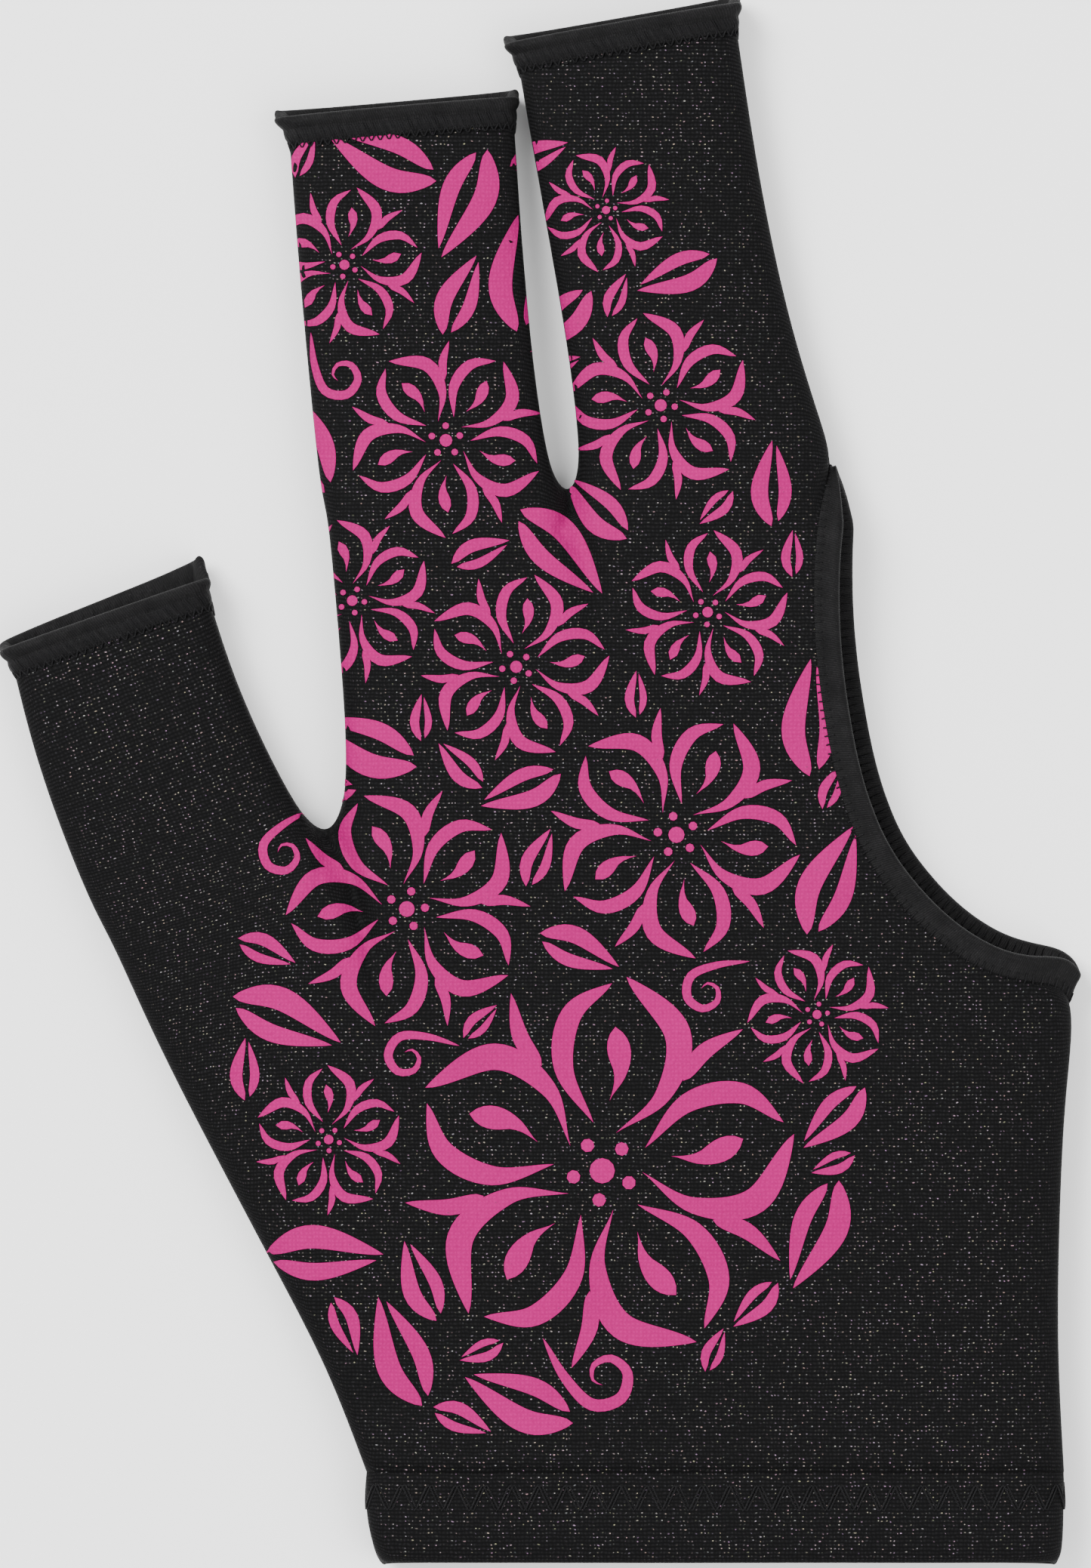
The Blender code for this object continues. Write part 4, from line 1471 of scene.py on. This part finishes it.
print("share of the chart taken:", round(float(taken.mean()), 3))

# %% [markdown]
# At each spot of a staggered grid the largest motif that still fits is laid, in the first
# direction that leaves a margin round it.

# %% Fill the gaps
FILLERS = ((leaf, 15.0), (curl, 13.0), (leaf, 11.0), (curl, 9.5), (leaf, 8.0), (leaf, 6.0))
TURNS = 16
chance = np.random.default_rng(11)
spots = [(x + 2.5 * (row % 2), y) for row, y in enumerate(range(-82, 86, 3)) for x in range(-40, 46, 5)]
chance.shuffle(spots)
laid = 0
for motif, size in FILLERS:
    turned = []
    for turn in (2 * pi * number / TURNS for number in range(TURNS)):
        shapes = motif(-size / 2 * cos(turn), -size / 2 * sin(turn), size, turn)
        turned.append((shapes, np.array([tuple(point) for shape in shapes for point in shape])))
    for spot in spots:
        first = int(chance.integers(TURNS))
        for shapes, points in turned[first:] + turned[:first]:
            there = points + spot
            if in_field(there) and not taken[cells(there)].any():
                strokes += [[point + Vector(spot) for point in shape] for shape in shapes]
                take(there, MARGIN)
                laid += 1
                break
print("leaves and curls laid:", laid)

# %% [markdown]
# The print ends where the upper cloth ends, so the drawing needs the cloth's outline. It is read
# by walking round the mesh, from one open edge to the next.

# %% The cloth's outline
def outline_of(mesh):
    """The cloth's open edge as one closed line on the table."""
    net = bmesh.new()
    net.from_mesh(mesh)
    start = next(edge for edge in net.edges if edge.is_boundary)
    vertex, edge, line = start.verts[0], start, []
    while True:
        line.append(Vector(vertex.co[:2]))
        vertex = edge.other_vert(vertex)
        edge = next(e for e in vertex.link_edges if e.is_boundary and e is not edge)
        if edge is start:
            break
    net.free()
    return line


print("points of the outline:", len(outline_of(fine["back"])))

# %% [markdown]
# To drape the flat drawing, it is cut into triangles together with the cloth's outline and the
# cloth's own points. A triangle is kept where it lies inside a stroke and inside the outline.
# Its corners are then set down on the cloth from above, less than a tenth of a millimetre proud.

# %% Drape the print on the cloth
INK_PROUD = 0.07 * MM


def drape(name, shapes, cloth_mesh):
    """Flat shapes in mm, cut to the cloth's outline and laid on it."""
    cloth_points = read_points(cloth_mesh)
    normals = read_normals(cloth_mesh)
    points = [Vector(point[:2]) / MM for point, normal in zip(cloth_points, normals) if normal[2] > 0.2]
    faces = []
    for shape in [[point / MM for point in outline_of(cloth_mesh)]] + shapes:
        turns = sum(a.x * b.y - b.x * a.y for a, b in zip(shape, shape[1:] + shape[:1]))
        faces.append(list(range(len(points), len(points) + len(shape))))
        points += shape if turns > 0 else shape[::-1]
    flat, _, cut, _, _, origins = delaunay_2d_cdt(points, [], faces, 1, 0.002)
    kept = [face for face, origin in zip(cut, origins) if 0 in origin and len(origin) > 1]
    tree = BVHTree.FromPolygons(
        [tuple(point) for point in cloth_points], [tuple(face.vertices) for face in cloth_mesh.polygons])
    used, laid = {}, []
    for corner in sorted({corner for face in kept for corner in face}):
        hit, normal, _, _ = tree.ray_cast(Vector((*(flat[corner] * MM), 0.05)), Vector((0, 0, -1)))
        if hit is not None and hit.z > SEAM_HEIGHT:
            used[corner] = len(laid)
            laid.append(tuple(hit + normal * INK_PROUD))
    faces = [tuple(used[corner] for corner in face) for face in kept if all(c in used for c in face)]
    mesh = bpy.data.meshes.new(name)
    mesh.from_pydata(laid, [], faces)
    mesh.update()
    net = bmesh.new()
    net.from_mesh(mesh)
    if sum(face.normal.z for face in net.faces) < 0:
        bmesh.ops.reverse_faces(net, faces=net.faces)
    for edge in net.edges:
        edge.smooth = not edge.is_boundary
    net.to_mesh(mesh)
    net.free()
    set_map(mesh, np.array(laid)[:, :2])
    return mesh


ink_mesh = drape("print", strokes, fine["back"])
print("print faces:", len(ink_mesh.polygons))

# %% [markdown]
# Ink sinks between the loops, so the knit shows through the pink as rows of small dimples, and
# here and there a dark speck where a loop stayed dry.

# %% Ink
INK_DEEP = (0.19, 0.0012, 0.063)
INK_PALE = (0.325, 0.0048, 0.118)
INK_DRY = (0.12, 0.02, 0.06)
INK_DIMPLE = 0.10 * MM


def ink_material():
    """Pink ink on knit."""
    material, tree, shader = new_material("pink_ink_look", Roughness=0.62, Specular_IOR_Level=0.04)
    uv, places, waves = knit_grid(tree)
    loop = maths(tree, "MULTIPLY", waves[0], waves[1])
    fuzz = slow_noise(tree, uv, 2.2, 3.0)
    cloud = slow_noise(tree, uv, 0.08, 2.0)
    number, tint = loop_numbers(tree, places)
    shade = maths(tree, "MULTIPLY_ADD", loop, 0.30, maths(tree, "MULTIPLY", fuzz, 0.55))
    shade = maths(tree, "ADD", shade, maths(tree, "MULTIPLY", cloud, 0.4))
    colour = blend_colours(tree, between(tree, shade, 0.15, 1.0), INK_DEEP, INK_PALE)
    dry = maths(tree, "MULTIPLY", between(tree, number, 0.97, 1.0), glint_and_dry_dots(tree, places, tint))
    colour = blend_colours(tree, dry, colour, INK_DRY)
    tree.links.new(colour, shader.inputs["Base Color"])
    raise_surface(tree, shader, maths(tree, "ADD", loop, fuzz), 0.35, INK_DIMPLE)
    return material


ink = add_piece("pink_print", ink_mesh, ink_material(), "print_ink")
film = ink.modifiers.new("film", "SOLIDIFY")
film.thickness = INK_PROUD
film.offset = -1.0
print("ink laid on", ink.name)
